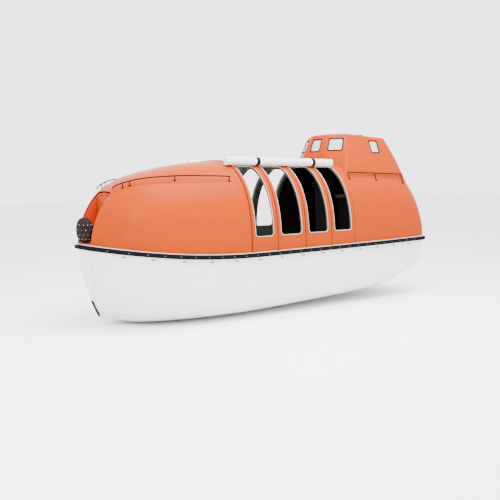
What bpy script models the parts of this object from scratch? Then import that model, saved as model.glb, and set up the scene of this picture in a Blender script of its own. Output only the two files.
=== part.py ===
# Partially enclosed lifeboat, 7.5 m class, as an assembly of separate pieces.
# Metres. +X is the bow, +Y is port, +Z is up. The origin is amidships on the centreline at the waterline.

import bpy
import bmesh
import math
from mathutils import Matrix, Vector

# Driving dimensions of the hull
BOW_X = 3.74
STERN_X = -3.76
HULL_HALF_BEAM = 1.325
STERN_WIDTH_RATIO = 0.91
STERN_CORNER_RADIUS = 0.10
STERN_CORNER_START = 0.967
STEM_HALF_WIDTH = 0.035
SHEER_LOW_Z = 0.675
SHEER_LOW_X = 1.0
SHEER_RISE_BOW = 0.25
SHEER_RISE_STERN = 0.05
KEEL_LINE_Z = -0.47
MIDSHIP_FULLNESS = 4.5
BOW_FULLNESS = 1.3
BOW_RAKE = (0.03, 0.19)
STERN_RAKE = (0.04, 0.05)
TUNNEL_RISE = 0.16
TUNNEL_HALF_WIDTH = 0.26
RIM_ABOVE_SHEER = 0.018
INNER_RIM_DROP = 0.001
HULL_WALL = 0.030
TOUCH_GAP = 0.0003
RUNNING_GAP = 0.006

# Canopy
CANOPY_WALL = 0.030
CANOPY_INSET = 0.003
CANOPY_CROWN = 1.735
CANOPY_UPRIGHT = 0.135
CROWN_POWER = 2.54
SIDE_POWER = 2.39
BAY_SEAMS = (1.02, 0.44, -0.23, -0.89, -1.52)
SEAM_GAP = 0.006
RIB_WIDTH = 0.085
RIB_PROUD = 0.020
RIB_DEPTH = 0.085
SILL_ABOVE_SHEER = 0.325
OPENING_TOP_Z = 2.28
OPENING_CORNER = 0.07

# Recesses in the two ends of the canopy
RECESS_HALF_WIDTH = 0.30
BOW_RECESS_X = 3.24
BOW_DECK_Z = 0.985
STERN_RECESS_X = -3.34
STERN_DECK_Z = 0.80
RECESS_TOP_Z = 2.6
HATCH_HALF_WIDTH = 0.21
BOW_HATCH_Z = (1.38, 1.75)
STERN_HATCH_Z = (1.30, 1.80)
HATCH_LAP = 0.022
HATCH_THICKNESS = 0.022
HATCH_LEAF_GAP = 0.008
HATCH_EDGE = 0.006

# Running gear
SHAFT_Z = -0.29
PROPELLER_X = -2.95
PROPELLER_RADIUS = 0.158
RUDDER_X = -3.27
KEEL_BOTTOM_Z = -0.505
KEEL_HALF_WIDTH = 0.03
KEEL_OVERRUN = 0.02
KEEL_TOE = 0.12
SKEG_END_X = -2.78
STERN_TUBE_X = (-2.66, -2.83)
STERN_TUBE_RADIUS = 0.042
GLAND_OVERRUN = 0.05
STEM_GUARD_DROPS = (0.98, 1.09, 1.19, 1.27)
STEM_GUARD_HALF_WIDTH = 0.028
STEM_GUARD_THICKNESS = 0.022

# Interior
SOLE_Z = 0.0
SOLE_THICKNESS = 0.025
SOLE_AFT_X = -2.90
BENCH_TOP_Z = 0.42
BENCH_FRONT_Y = 0.72
BENCH_FORE_X = 2.1

# Stations shared by the hull, the rail, the fender and the canopies, bow to stern
STATIONS = (
    3.74, 3.70, 3.62, 3.50, 3.34, 3.12, 2.84, 2.45, 2.00, 1.50, 1.02, 0.44, -0.23, -0.89, -1.52,
    -2.10, -2.65, -3.05, -3.34, -3.54, -3.64, -3.71, -3.75, -3.76,
)

# Fore canopy sections: station x, height of the crown above the waterline, squareness of the shoulder,
# how far the moulded rim stands proud
FORE_SECTIONS = (
    (3.66, 1.02, 2.00, 0.0),
    (3.62, 1.20, 2.10, 0.0),
    (3.56, 1.40, 2.20, 0.0),
    (3.50, 1.53, 2.27, 0.0),
    (3.42, 1.66, 2.35, 0.0),
    (3.34, 1.765, 2.42, 0.0),
    (3.24, 1.87, 2.45, 0.0),
    (3.12, 1.97, 2.42, 0.0),
    (2.84, 2.11, 2.40, 0.0),
    (2.45, 2.22, 2.42, 0.0),
    (2.00, 2.31, 2.46, 0.0),
    (1.50, 2.375, 2.50, 0.0),
    (1.195, 2.402, 2.54, 0.0),
    (1.170, 2.404, 2.54, 0.014),
    (1.125, 2.407, 2.54, 0.014),
    (1.100, 2.408, 2.54, 0.006),
    (1.078, 2.409, 2.54, 0.018),
    (1.038, 2.410, 2.54, 0.018),
    (1.023, 2.410, 2.54, 0.004),
)

# Aft canopy sections, the same columns
AFT_SECTIONS = (
    (-1.523, 2.433, 2.54, 0.004),
    (-1.538, 2.433, 2.54, 0.018),
    (-1.575, 2.433, 2.54, 0.018),
    (-1.592, 2.433, 2.54, 0.0),
    (-2.10, 2.432, 2.54, 0.0),
    (-2.65, 2.432, 2.54, 0.0),
    (-3.05, 2.42, 2.54, 0.0),
    (-3.34, 2.37, 2.54, 0.0),
    (-3.54, 2.19, 2.50, 0.0),
    (-3.64, 1.90, 2.50, 0.0),
    (-3.71, 1.42, 2.45, 0.0),
    (-3.75, 1.10, 2.30, 0.0),
    (-3.76, 0.98, 2.20, 0.0),
)

# Cupola outline corners from bow to stern, port side:
# height, then x and y of the front, shoulder and aft corners
CUPOLA_LEVELS = (
    (1.95, (-1.548, 0.44), (-1.60, 0.985), (-3.43, 0.985)),
    (2.47, (-1.552, 0.34), (-1.80, 0.80), (-3.28, 0.80)),
    (3.00, (-1.745, 0.22), (-1.95, 0.59), (-3.07, 0.59)),
)
CUPOLA_WALL = 0.028
CUPOLA_ROOF_FALL = 0.053
WINDOW_THICKNESS = 0.008
CUPOLA_WAY = ((-2.95, -0.50, 2.0), (-1.75, 0.50, 2.7))


def clamp(value, low, high):
    return max(low, min(high, value))


def sheer_curve(x):
    if x > SHEER_LOW_X:
        t = (x - SHEER_LOW_X) / (BOW_X - SHEER_LOW_X)
        return SHEER_LOW_Z + SHEER_RISE_BOW * t ** 2
    t = (SHEER_LOW_X - x) / (SHEER_LOW_X - STERN_X)
    return SHEER_LOW_Z + SHEER_RISE_STERN * t ** 1.2


def plan_curve(x):
    if x >= 0.0:
        t = x / BOW_X
        half = HULL_HALF_BEAM * max(0.0, 1.0 - t ** 5.2) ** 0.75
    else:
        t = x / STERN_X
        half = HULL_HALF_BEAM * (1.0 - (1.0 - STERN_WIDTH_RATIO) * t ** 3)
        corner = clamp((t - STERN_CORNER_START) / (1.0 - STERN_CORNER_START), 0.0, 1.0)
        half -= STERN_CORNER_RADIUS * (1.0 - math.sqrt(1.0 - corner ** 2))
    return max(half, STEM_HALF_WIDTH)


def along(x, curve):
    """Value of a curve at x, read on the straight lines between the shared stations."""
    if x >= STATIONS[0]:
        return curve(STATIONS[0])
    for ahead, behind in zip(STATIONS, STATIONS[1:]):
        if x >= behind:
            part = (ahead - x) / (ahead - behind)
            return curve(ahead) * (1.0 - part) + curve(behind) * part
    return curve(STATIONS[-1])


def sheer_z(x):
    return along(x, sheer_curve)


def half_breadth(x):
    return along(x, plan_curve)


def keel_z(x):
    """Bottom of the hull on the bilge line: level, lifting a little forward and in a long run aft."""
    if x >= SHEER_LOW_X:
        lift = clamp((x / BOW_X - 0.80) / 0.20, 0.0, 1.0)
        return KEEL_LINE_Z + 0.125 * lift ** 1.4
    rocker = 0.12 * ((SHEER_LOW_X - x) / 3.0) ** 1.3
    run = clamp((x / STERN_X - 0.55) / 0.45, 0.0, 1.0)
    return KEEL_LINE_Z + rocker + 0.28 * run ** 2.2


def tunnel_rise(x, y):
    """Hollow over the propeller, along the centreline aft."""
    depth = TUNNEL_RISE * smooth_step((x / STERN_X - 0.55) / 0.25) if x < 0.0 else 0.0
    return depth * math.exp(-(y / TUNNEL_HALF_WIDTH) ** 2)


def smooth_step(t):
    t = clamp(t, 0.0, 1.0)
    return t * t * (3.0 - 2.0 * t)


SECTION_ANGLES = (0.0, 10.0, 22.0, 34.0, 45.0, 56.0, 66.0, 75.0, 81.0, 85.5, 90.0)


def hull_half_ring(x, inset):
    """Port half section of the hull from gunwale to centreline, set in by the wall thickness."""
    top = sheer_z(x) + RIM_ABOVE_SHEER
    bottom = keel_z(x) + inset
    if x >= 0.0:
        t = x / BOW_X
        fullness = MIDSHIP_FULLNESS + (BOW_FULLNESS - MIDSHIP_FULLNESS) * t ** 3
        rake = t ** 3
        rake_line = BOW_RAKE
        end = 1.0
    else:
        t = x / STERN_X
        fullness = MIDSHIP_FULLNESS
        rake = t ** 6
        rake_line = STERN_RAKE
        end = -1.0
    half = max(half_breadth(x) - inset, 0.004)
    ring = []
    for angle in SECTION_ANGLES:
        phi = math.radians(angle)
        y = half * max(math.cos(phi), 0.0) ** (2.0 / fullness)
        if angle == 90.0:
            y = 0.0
        drop = (top - bottom) * math.sin(phi) ** (2.0 / fullness)
        z = top - drop + tunnel_rise(x, y)
        lean = rake * (rake_line[0] * drop + rake_line[1] * drop ** 2)
        ring.append((x - end * lean, y, z))
    return ring


def mirrored(half_ring):
    """Whole ring from a port half that ends on the centreline."""
    starboard = [(x, -y, z) for x, y, z in reversed(half_ring[:-1])]
    return list(half_ring) + starboard


def hull_bottom(x, y):
    """Height of the outside of the hull near the centreline, on its own flat facets."""
    for ahead, behind in zip(STATIONS, STATIONS[1:]):
        if x >= behind:
            part = clamp((ahead - x) / (ahead - behind), 0.0, 1.0)
            return ring_height(ahead, y) * (1.0 - part) + ring_height(behind, y) * part
    return ring_height(STATIONS[-1], y)


def ring_height(station, y, inset=0.0):
    ring = hull_half_ring(station, inset)
    for outer, inner in zip(ring, ring[1:]):
        if outer[1] >= y >= inner[1]:
            span = outer[1] - inner[1]
            part = (outer[1] - y) / span if span > 1e-9 else 0.0
            return outer[2] * (1.0 - part) + inner[2] * part
    return ring[0][2]


def ring_breadth(station, z, inset):
    """Half breadth of a hull section at a height, outside the tunnel."""
    ring = hull_half_ring(station, inset)
    for upper, lower in zip(ring, ring[1:]):
        if upper[2] >= z >= lower[2]:
            part = (upper[2] - z) / (upper[2] - lower[2])
            return upper[1] * (1.0 - part) + lower[1] * part
    return 0.0


def inner_breadth(x, z):
    """Half breadth of the inside of the hull at a height."""
    for ahead, behind in zip(STATIONS, STATIONS[1:]):
        if x >= behind:
            part = clamp((ahead - x) / (ahead - behind), 0.0, 1.0)
            near = ring_breadth(ahead, z, HULL_WALL)
            far = ring_breadth(behind, z, HULL_WALL)
            return near * (1.0 - part) + far * part
    return 0.0


CANOPY_ANGLES = (0.0, 9.0, 19.0, 29.0, 39.0, 49.0, 58.0, 67.0, 75.0, 83.0, 90.0)
RAIL_CLEAR = 0.056
BULGE_STEP = 0.012


def canopy_half_ring(section, offset=0.0, base_drop=0.0):
    """Port half section of the canopy from gunwale to crown.

    A positive offset grows the whole section; the rim's own bulge starts above the gunwale rail.
    """
    x, crown_z, square, proud = section
    base = sheer_z(x) + RIM_ABOVE_SHEER + TOUCH_GAP
    foot = half_breadth(x) - CANOPY_INSET + offset
    half = foot + proud
    upright = min(CANOPY_UPRIGHT, 0.3 * (crown_z - base))
    bulge_z = min(sheer_z(x) + RAIL_CLEAR, base + 0.4 * upright)
    ring = [
        (x, foot, base - base_drop),
        (x, foot, bulge_z),
        (x, half, bulge_z + BULGE_STEP),
    ]
    for angle in CANOPY_ANGLES:
        phi = math.radians(angle)
        y = half * max(math.cos(phi), 0.0) ** (2.0 / SIDE_POWER) if angle < 90.0 else 0.0
        rise = (crown_z + offset + proud - base - upright) * math.sin(phi) ** (2.0 / square)
        ring.append((x, y, base + upright + rise))
    return ring


def bay_crown(x):
    return sheer_z(x) + CANOPY_CROWN


# Materials

def make_material(name, colour, roughness, metallic=0.0, alpha=1.0):
    material = bpy.data.materials.new(name)
    material.use_nodes = True
    shader = material.node_tree.nodes["Principled BSDF"]
    shader.inputs["Base Color"].default_value = (*colour, 1.0)
    shader.inputs["Roughness"].default_value = roughness
    shader.inputs["Metallic"].default_value = metallic
    shader.inputs["Alpha"].default_value = alpha
    return material


def make_materials():
    return {
        "hull_white": make_material("hull_white", (0.86, 0.85, 0.85), 0.25),
        "canopy_orange": make_material("canopy_orange", (0.90, 0.24, 0.04), 0.25),
        "liner_grey": make_material("liner_grey", (0.58, 0.64, 0.60), 0.5),
        "rail_pale": make_material("rail_pale", (0.80, 0.76, 0.70), 0.4),
        "fender_black": make_material("fender_black", (0.02, 0.02, 0.022), 0.6),
        "canvas_white": make_material("canvas_white", (0.82, 0.81, 0.80), 0.8),
        "coir_brown": make_material("coir_brown", (0.20, 0.14, 0.11), 0.95),
        "steel": make_material("steel", (0.62, 0.63, 0.64), 0.3, 1.0),
        "bronze": make_material("bronze", (0.55, 0.38, 0.16), 0.35, 1.0),
        "window_glass": make_material("window_glass", (0.70, 0.76, 0.80), 0.05, 0.0, 0.35),
        "engine_paint": make_material("engine_paint", (0.10, 0.22, 0.16), 0.5),
        "cushion_grey": make_material("cushion_grey", (0.10, 0.10, 0.11), 0.7),
    }


# Mesh helpers

def to_object(name, bm, material):
    bmesh.ops.remove_doubles(bm, verts=bm.verts, dist=0.00002)
    bmesh.ops.dissolve_degenerate(bm, edges=bm.edges, dist=0.00002)
    bmesh.ops.recalc_face_normals(bm, faces=bm.faces)
    mesh = bpy.data.meshes.new(name)
    bm.to_mesh(mesh)
    bm.free()
    if material is not None:
        mesh.materials.append(material)
    mesh.shade_smooth()
    mesh.set_sharp_from_angle(angle=math.radians(35.0))
    item = bpy.data.objects.new(name, mesh)
    bpy.context.scene.collection.objects.link(item)
    return item


def to_cutter(name, bm):
    item = to_object(name, bm, None)
    item.hide_render = True
    item.display_type = 'WIRE'
    return item


def boolean(item, other, operation):
    modifier = item.modifiers.new(other.name, 'BOOLEAN')
    modifier.operation = operation
    modifier.solver = 'EXACT'
    modifier.object = other


def skin(bm, grid, flip=False):
    """Faces over a grid of vertices, rows by columns."""
    for row, next_row in zip(grid, grid[1:]):
        for j in range(len(row) - 1):
            corners = [row[j], row[j + 1], next_row[j + 1], next_row[j]]
            bm.faces.new(reversed(corners) if flip else corners)


def split_skin(bm, grid):
    """The same in triangles, with the diagonals mirrored about the centreline."""
    middle = (len(grid[0]) - 1) // 2
    for row, next_row in zip(grid, grid[1:]):
        for j in range(len(row) - 1):
            a, b, c, d = row[j], row[j + 1], next_row[j + 1], next_row[j]
            halves = ((a, b, c), (a, c, d)) if j < middle else ((a, b, d), (b, c, d))
            for corners in halves:
                bm.faces.new(corners)


def ladder(bm, ring):
    """Closes a ring that mirrors about its middle with rungs from side to side."""
    last = len(ring) - 1
    for j in range(last // 2):
        left = [ring[j], ring[j + 1]]
        right = [ring[last - j - 1], ring[last - j]]
        corners = left + [vert for vert in right if vert not in left]
        bm.faces.new(corners)


def solid_from_rings(rings, split=False):
    """Closed body through rings that mirror about the centreline, with the open side closed flat."""
    bm = bmesh.new()
    grid = [[bm.verts.new(point) for point in ring] for ring in rings]
    if split:
        split_skin(bm, grid)
    else:
        skin(bm, grid)
    ladder(bm, grid[0])
    ladder(bm, grid[-1])
    for row, next_row in zip(grid, grid[1:]):
        bm.faces.new([row[0], next_row[0], next_row[-1], row[-1]])
    return bm


def thick_sheet(outer_rings, inner_rings):
    """Closed body between two open sheets of the same layout, with a rim on all four sides."""
    bm = bmesh.new()
    outer = [[bm.verts.new(point) for point in ring] for ring in outer_rings]
    inner = [[bm.verts.new(point) for point in ring] for ring in inner_rings]
    skin(bm, outer)
    skin(bm, inner, flip=True)
    for edge_outer, edge_inner in ((outer[0], inner[0]), (outer[-1], inner[-1])):
        skin(bm, [edge_outer, edge_inner])
    for side in (0, -1):
        skin(bm, [[row[side] for row in outer], [row[side] for row in inner]])
    return bm


def box(low, high):
    bm = bmesh.new()
    bmesh.ops.create_cube(bm, size=1.0)
    low = Vector(low)
    high = Vector(high)
    bmesh.ops.scale(bm, vec=high - low, verts=bm.verts)
    bmesh.ops.translate(bm, vec=(low + high) / 2.0, verts=bm.verts)
    return bm


def rounded_box(low, high, radius, segments=2):
    bm = box(low, high)
    bmesh.ops.bevel(bm, geom=bm.edges[:], offset=radius, segments=segments, profile=0.5,
                    affect='EDGES', material=-1)
    return bm


def prism(points, direction):
    """Extrudes a flat outline along a vector."""
    bm = bmesh.new()
    face = bm.faces.new([bm.verts.new(point) for point in points])
    moved = bmesh.ops.extrude_face_region(bm, geom=[face])
    verts = [element for element in moved["geom"] if isinstance(element, bmesh.types.BMVert)]
    bmesh.ops.translate(bm, vec=Vector(direction), verts=verts)
    return bm


def cylinder(start, end, radius, sides=12, end_radius=None):
    start = Vector(start)
    end = Vector(end)
    bm = bmesh.new()
    bmesh.ops.create_cone(bm, cap_ends=True, segments=sides, radius1=radius,
                          radius2=radius if end_radius is None else end_radius,
                          depth=(end - start).length)
    turn = Vector((0.0, 0.0, 1.0)).rotation_difference(end - start).to_matrix().to_4x4()
    bmesh.ops.transform(bm, matrix=Matrix.Translation((start + end) / 2.0) @ turn, verts=bm.verts)
    return bm


def tube_curve(name, points, radius, material, resolution=2):
    """Bent rod along points, as a curve with a round bevel and filled caps."""
    curve = bpy.data.curves.new(name, 'CURVE')
    curve.dimensions = '3D'
    curve.bevel_depth = radius
    curve.bevel_resolution = resolution
    curve.use_fill_caps = True
    spline = curve.splines.new('POLY')
    spline.points.add(len(points) - 1)
    for target, point in zip(spline.points, points):
        target.co = (*point, 1.0)
    curve.materials.append(material)
    item = bpy.data.objects.new(name, curve)
    bpy.context.scene.collection.objects.link(item)
    return item


def rounded_outline(low_x, high_x, low_z, high_z, radius, y, segments=4):
    """Rounded rectangle in the XZ plane."""
    corners = (
        (high_x - radius, high_z - radius, 0.0),
        (low_x + radius, high_z - radius, 90.0),
        (low_x + radius, low_z + radius, 180.0),
        (high_x - radius, low_z + radius, 270.0),
    )
    points = []
    for centre_x, centre_z, start in corners:
        for step in range(segments + 1):
            angle = math.radians(start + 90.0 * step / segments)
            points.append((centre_x + radius * math.cos(angle), y, centre_z + radius * math.sin(angle)))
    return points


# Hull, rail and fender

def make_hull(materials):
    outer_rings = [mirrored(hull_half_ring(x, 0.0)) for x in STATIONS]
    inner_stations = list(STATIONS)
    inner_rings = []
    for index, x in enumerate(inner_stations):
        ring = mirrored(hull_half_ring(x, HULL_WALL))
        if index == 0:
            ring = [(px - 0.070, py, pz) for px, py, pz in ring]
        elif index == 1:
            ring = [(px - 0.050, py * 0.86, pz) for px, py, pz in ring]
        elif index == 2:
            ring = [(px - 0.020, py * 0.95, pz) for px, py, pz in ring]
        elif index >= len(inner_stations) - 3:
            shift = (0.010, 0.022, 0.030)[index - len(inner_stations) + 3]
            ring = [(px + shift, py, pz + shift * 0.5) for px, py, pz in ring]
        rim_x = ring[0][0]
        top = sheer_z(rim_x) + RIM_ABOVE_SHEER - INNER_RIM_DROP
        ring[0] = (rim_x, ring[0][1], top)
        ring[-1] = (rim_x, ring[-1][1], top)
        inner_rings.append(ring)
    bm = bmesh.new()
    outer = [[bm.verts.new(point) for point in ring] for ring in outer_rings]
    inner = [[bm.verts.new(point) for point in ring] for ring in inner_rings]
    split_skin(bm, outer)
    skin(bm, inner, flip=True)
    for grid in (outer, inner):
        ladder(bm, grid[0])
        ladder(bm, grid[-1])
    for side in (0, -1):
        skin(bm, [[row[side] for row in outer], [row[side] for row in inner]])
    for end in (0, -1):
        bm.faces.new([outer[end][0], outer[end][-1], inner[end][-1], inner[end][0]])
    return to_object("hull", bm, materials["hull_white"])


def gunwale_path():
    """Plan outline at the gunwale from the port bow round the stern to the starboard bow, with normals."""
    port = [(x, half_breadth(x)) for x in STATIONS]
    path = port + [(x, -y) for x, y in reversed(port)]
    result = []
    for index, (x, y) in enumerate(path):
        before = path[max(index - 1, 0)]
        after = path[min(index + 1, len(path) - 1)]
        first = Vector((x - before[0], y - before[1]))
        second = Vector((after[0] - x, after[1] - y))
        first = first.normalized() if first.length > 1e-9 else second.normalized()
        second = second.normalized() if second.length > 1e-9 else first
        normal_first = Vector((-first.y, first.x)) * -1.0
        normal_second = Vector((-second.y, second.x)) * -1.0
        middle = (normal_first + normal_second).normalized()
        stretch = 1.0 / max(middle.dot(normal_first), 0.35)
        result.append((x, y, middle.x * stretch, middle.y * stretch))
    return result


def ring_along_gunwale(section):
    """Sweeps a closed section, as (outward, up) pairs, round the gunwale."""
    rings = []
    for x, y, normal_x, normal_y in gunwale_path():
        level = sheer_z(x)
        taper = clamp((BOW_X - x) / 0.12, 0.25, 1.0)
        rings.append([
            (x + normal_x * (TOUCH_GAP + (out - TOUCH_GAP) * taper),
             y + normal_y * (TOUCH_GAP + (out - TOUCH_GAP) * taper),
             level + up)
            for out, up in section
        ])
    bm = bmesh.new()
    grid = [[bm.verts.new(point) for point in ring] for ring in rings]
    closed = [row + [row[0]] for row in grid]
    skin(bm, closed)
    bm.faces.new(grid[0])
    bm.faces.new(list(reversed(grid[-1])))
    return bm


def make_rail_and_fender(materials):
    inner = TOUCH_GAP
    rail_out = 0.018
    rail = ((inner, -0.052), (rail_out, -0.052), (rail_out, 0.052), (inner, 0.052))
    to_object("gunwale_rail", ring_along_gunwale(rail), materials["rail_pale"])
    back = rail_out + 4.0 * TOUCH_GAP
    face = 0.065
    fender = (
        (back, -0.038), (0.050, -0.038), (face, -0.024), (face, 0.024), (0.050, 0.038), (back, 0.038),
    )
    to_object("rubber_fender", ring_along_gunwale(fender), materials["fender_black"])


def make_keel(materials):
    """Keel bar and skeg with the stern tube, under the hull."""
    stations = [x for x in STATIONS if SKEG_END_X < x < 2.9] + [SKEG_END_X]
    outline = [(x, -KEEL_HALF_WIDTH, hull_bottom(x, KEEL_HALF_WIDTH) + KEEL_OVERRUN) for x in stations]
    outline += [(SKEG_END_X, -KEEL_HALF_WIDTH, KEEL_BOTTOM_Z),
                (stations[0] - KEEL_TOE, -KEEL_HALF_WIDTH, KEEL_BOTTOM_Z)]
    keel = to_object("keel", prism(outline, (0.0, 2.0 * KEEL_HALF_WIDTH, 0.0)), materials["hull_white"])
    shape_rings = [mirrored(hull_half_ring(x, -2.0 * TOUCH_GAP)) for x in STATIONS]
    shape = to_cutter("hull_shape", solid_from_rings(shape_rings, split=True))
    boolean(keel, shape, 'DIFFERENCE')
    tube = to_cutter("stern_tube", cylinder((STERN_TUBE_X[0], 0.0, SHAFT_Z), (STERN_TUBE_X[1], 0.0, SHAFT_Z),
                                            STERN_TUBE_RADIUS, 12))
    boolean(keel, tube, 'UNION')


def make_stem_guard(materials):
    """Dark shoe on the forefoot."""
    rows = []
    for drop in STEM_GUARD_DROPS:
        lean = BOW_RAKE[0] * drop + BOW_RAKE[1] * drop ** 2
        face_x = BOW_X - lean
        top = sheer_z(BOW_X) + RIM_ABOVE_SHEER
        rows.append((face_x, top - drop))
    half = STEM_GUARD_HALF_WIDTH
    outline = [(x + 2.0 * TOUCH_GAP, -half, z) for x, z in rows]
    outline += [(x + STEM_GUARD_THICKNESS, -half, z) for x, z in reversed(rows)]
    to_object("stem_guard", prism(outline, (0.0, 2.0 * half, 0.0)), materials["fender_black"])


# Canopies

def canopy_solid(sections, offset, base_drop):
    rings = [mirrored(canopy_half_ring(section, offset, base_drop)) for section in sections]
    return solid_from_rings(rings)


def inside_sections(sections, closed_end_x, open_end_x):
    """Sections of the inside: plain ones, drawn in from the closed end and run out past the open end."""
    inward = math.copysign(1.0, open_end_x - closed_end_x)
    plain = [(x, crown, square, 0.0) for x, crown, square, proud in sections if proud == 0.0]
    drawn = []
    for x, crown, square, proud in plain:
        shift = CANOPY_WALL * clamp(1.5 - abs(x - closed_end_x) / 0.35, 0.0, 1.0)
        drawn.append((x + inward * shift, crown, square, proud))
    rim = min(sections, key=lambda section: abs(section[0] - open_end_x))
    drawn.append((open_end_x, rim[1], rim[2], 0.0))
    return sorted(drawn, key=lambda section: -section[0])


def make_fore_canopy(materials):
    outer = to_object("fore_canopy", canopy_solid(FORE_SECTIONS, 0.0, 0.0), materials["canopy_orange"])
    inside = inside_sections(FORE_SECTIONS, FORE_SECTIONS[0][0], FORE_SECTIONS[-1][0] - 0.04)
    hollow = to_cutter("fore_hollow", canopy_solid(inside, -CANOPY_WALL, 0.06))
    wall = CANOPY_WALL
    half = RECESS_HALF_WIDTH
    keep = to_cutter("fore_recess_walls", box((BOW_RECESS_X - wall, -half - wall, BOW_DECK_Z - wall),
                                              (BOW_X + 0.2, half + wall, RECESS_TOP_Z)))
    boolean(hollow, keep, 'DIFFERENCE')
    boolean(outer, hollow, 'DIFFERENCE')
    recess = to_cutter("fore_recess", box((BOW_RECESS_X, -half, BOW_DECK_Z),
                                          (BOW_X + 0.2, half, RECESS_TOP_Z)))
    boolean(outer, recess, 'DIFFERENCE')
    cut_hatchway(outer, "bow_hatchway", BOW_RECESS_X, BOW_HATCH_Z)
    add_hinge_lugs(outer, "bow_hatch", BOW_RECESS_X, 1.0, BOW_HATCH_Z[1])
    return outer


def cut_hatchway(canopy, name, wall_x, heights):
    way = to_cutter(name, box((wall_x - 0.08, -HATCH_HALF_WIDTH, heights[0]),
                              (wall_x + 0.08, HATCH_HALF_WIDTH, heights[1])))
    boolean(canopy, way, 'DIFFERENCE')


HINGE_RADIUS = 0.011
HINGE_OFFSET = 0.020
HINGE_SPAN = (0.10, 0.16)
LUG_WIDTH = 0.02
LUG_FOOT = 0.010


def add_hinge_lugs(canopy, name, wall_x, facing, top_z):
    """Pairs of lugs on the recess wall that hold the ends of the hatch's two hinge barrels."""
    axis_z = top_z + HATCH_LAP + HINGE_RADIUS + HATCH_LEAF_GAP
    for side in (-1.0, 1.0):
        spans = ((HINGE_SPAN[0] - LUG_WIDTH, HINGE_SPAN[0]), (HINGE_SPAN[1], HINGE_SPAN[1] + LUG_WIDTH))
        for number, span in enumerate(spans):
            low_y, high_y = sorted((side * span[0], side * span[1]))
            low_x, high_x = sorted((wall_x - facing * LUG_FOOT, wall_x + facing * (HINGE_OFFSET + HINGE_RADIUS)))
            label = name + "_lug_" + ("s" if side < 0 else "p") + str(number)
            lug = to_cutter(label, box((low_x, low_y, axis_z - HINGE_RADIUS),
                                       (high_x, high_y, axis_z + HINGE_RADIUS)))
            boolean(canopy, lug, 'UNION')


def make_end_hatch(name, wall_x, facing, heights, materials):
    """Top-hung hatch in front of the recess wall, with two hinge barrels between the lugs."""
    axis_z = heights[1] + HATCH_LAP + HINGE_RADIUS + HATCH_LEAF_GAP
    axis_x = wall_x + facing * HINGE_OFFSET
    back_x = wall_x + facing * RUNNING_GAP
    low_x, high_x = sorted((back_x, back_x + facing * HATCH_THICKNESS))
    width = HATCH_HALF_WIDTH + HATCH_LAP
    pivot = Vector((axis_x, 0.0, axis_z))
    bm = rounded_box((low_x, -width, heights[0] - HATCH_LAP),
                     (high_x, width, heights[1] + HATCH_LAP), HATCH_EDGE, 1)
    hatch = to_object(name, bm, materials["canopy_orange"])
    for side in (-1.0, 1.0):
        low_y = side * (HINGE_SPAN[0] + TOUCH_GAP)
        high_y = side * (HINGE_SPAN[1] - TOUCH_GAP)
        label = name + ("_barrel_s" if side < 0 else "_barrel_p")
        barrel = cylinder((axis_x, low_y, axis_z), (axis_x, high_y, axis_z), HINGE_RADIUS, 10)
        boolean(hatch, to_cutter(label, barrel), 'UNION')
        low, high = sorted((low_y, high_y))
        strap = to_cutter(label + "_strap", box((axis_x - 0.006, low + 0.004, heights[1]),
                                                (axis_x + 0.006, high - 0.004, axis_z)))
        boolean(hatch, strap, 'UNION')
    set_origin(hatch, pivot)
    return hatch


def set_origin(item, pivot):
    """Moves an object's origin to its joint's axis without moving the shape."""
    item.data.transform(Matrix.Translation(-pivot))
    item.location = pivot


def make_aft_canopy(materials):
    outer = to_object("aft_canopy", canopy_solid(AFT_SECTIONS, 0.0, 0.0), materials["canopy_orange"])
    inside = inside_sections(AFT_SECTIONS, AFT_SECTIONS[-1][0], AFT_SECTIONS[0][0] + 0.04)
    hollow = to_cutter("aft_hollow", canopy_solid(inside, -CANOPY_WALL, 0.06))
    wall = CANOPY_WALL
    half = RECESS_HALF_WIDTH
    keep = to_cutter("aft_recess_walls", box((STERN_X - 0.2, -half - wall, STERN_DECK_Z - wall),
                                             (STERN_RECESS_X + wall, half + wall, RECESS_TOP_Z)))
    boolean(hollow, keep, 'DIFFERENCE')
    boolean(outer, hollow, 'DIFFERENCE')
    recess = to_cutter("aft_recess", box((STERN_X - 0.2, -half, STERN_DECK_Z),
                                         (STERN_RECESS_X, half, RECESS_TOP_Z)))
    boolean(outer, recess, 'DIFFERENCE')
    way_up = to_cutter("cupola_way", box(*CUPOLA_WAY))
    boolean(outer, way_up, 'DIFFERENCE')
    cut_hatchway(outer, "stern_hatchway", STERN_RECESS_X, STERN_HATCH_Z)
    add_hinge_lugs(outer, "stern_hatch", STERN_RECESS_X, -1.0, STERN_HATCH_Z[1])
    return outer


def bay_sections(front, back):
    """Stations across a bay: x, how far the outside stands proud, how deep the inside rib is."""
    width = RIB_WIDTH
    front = front - SEAM_GAP / 2.0
    back = back + SEAM_GAP / 2.0
    return (
        (front, 0.004, RIB_DEPTH),
        (front - 0.014, RIB_PROUD, RIB_DEPTH),
        (front - 0.050, RIB_PROUD, RIB_DEPTH),
        (front - width + 0.012, 0.0, RIB_DEPTH),
        (front - width, 0.0, CANOPY_WALL),
        (back + width, 0.0, CANOPY_WALL),
        (back + width - 0.012, 0.0, RIB_DEPTH),
        (back + 0.050, RIB_PROUD, RIB_DEPTH),
        (back + 0.014, RIB_PROUD, RIB_DEPTH),
        (back, 0.004, RIB_DEPTH),
    )


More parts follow.
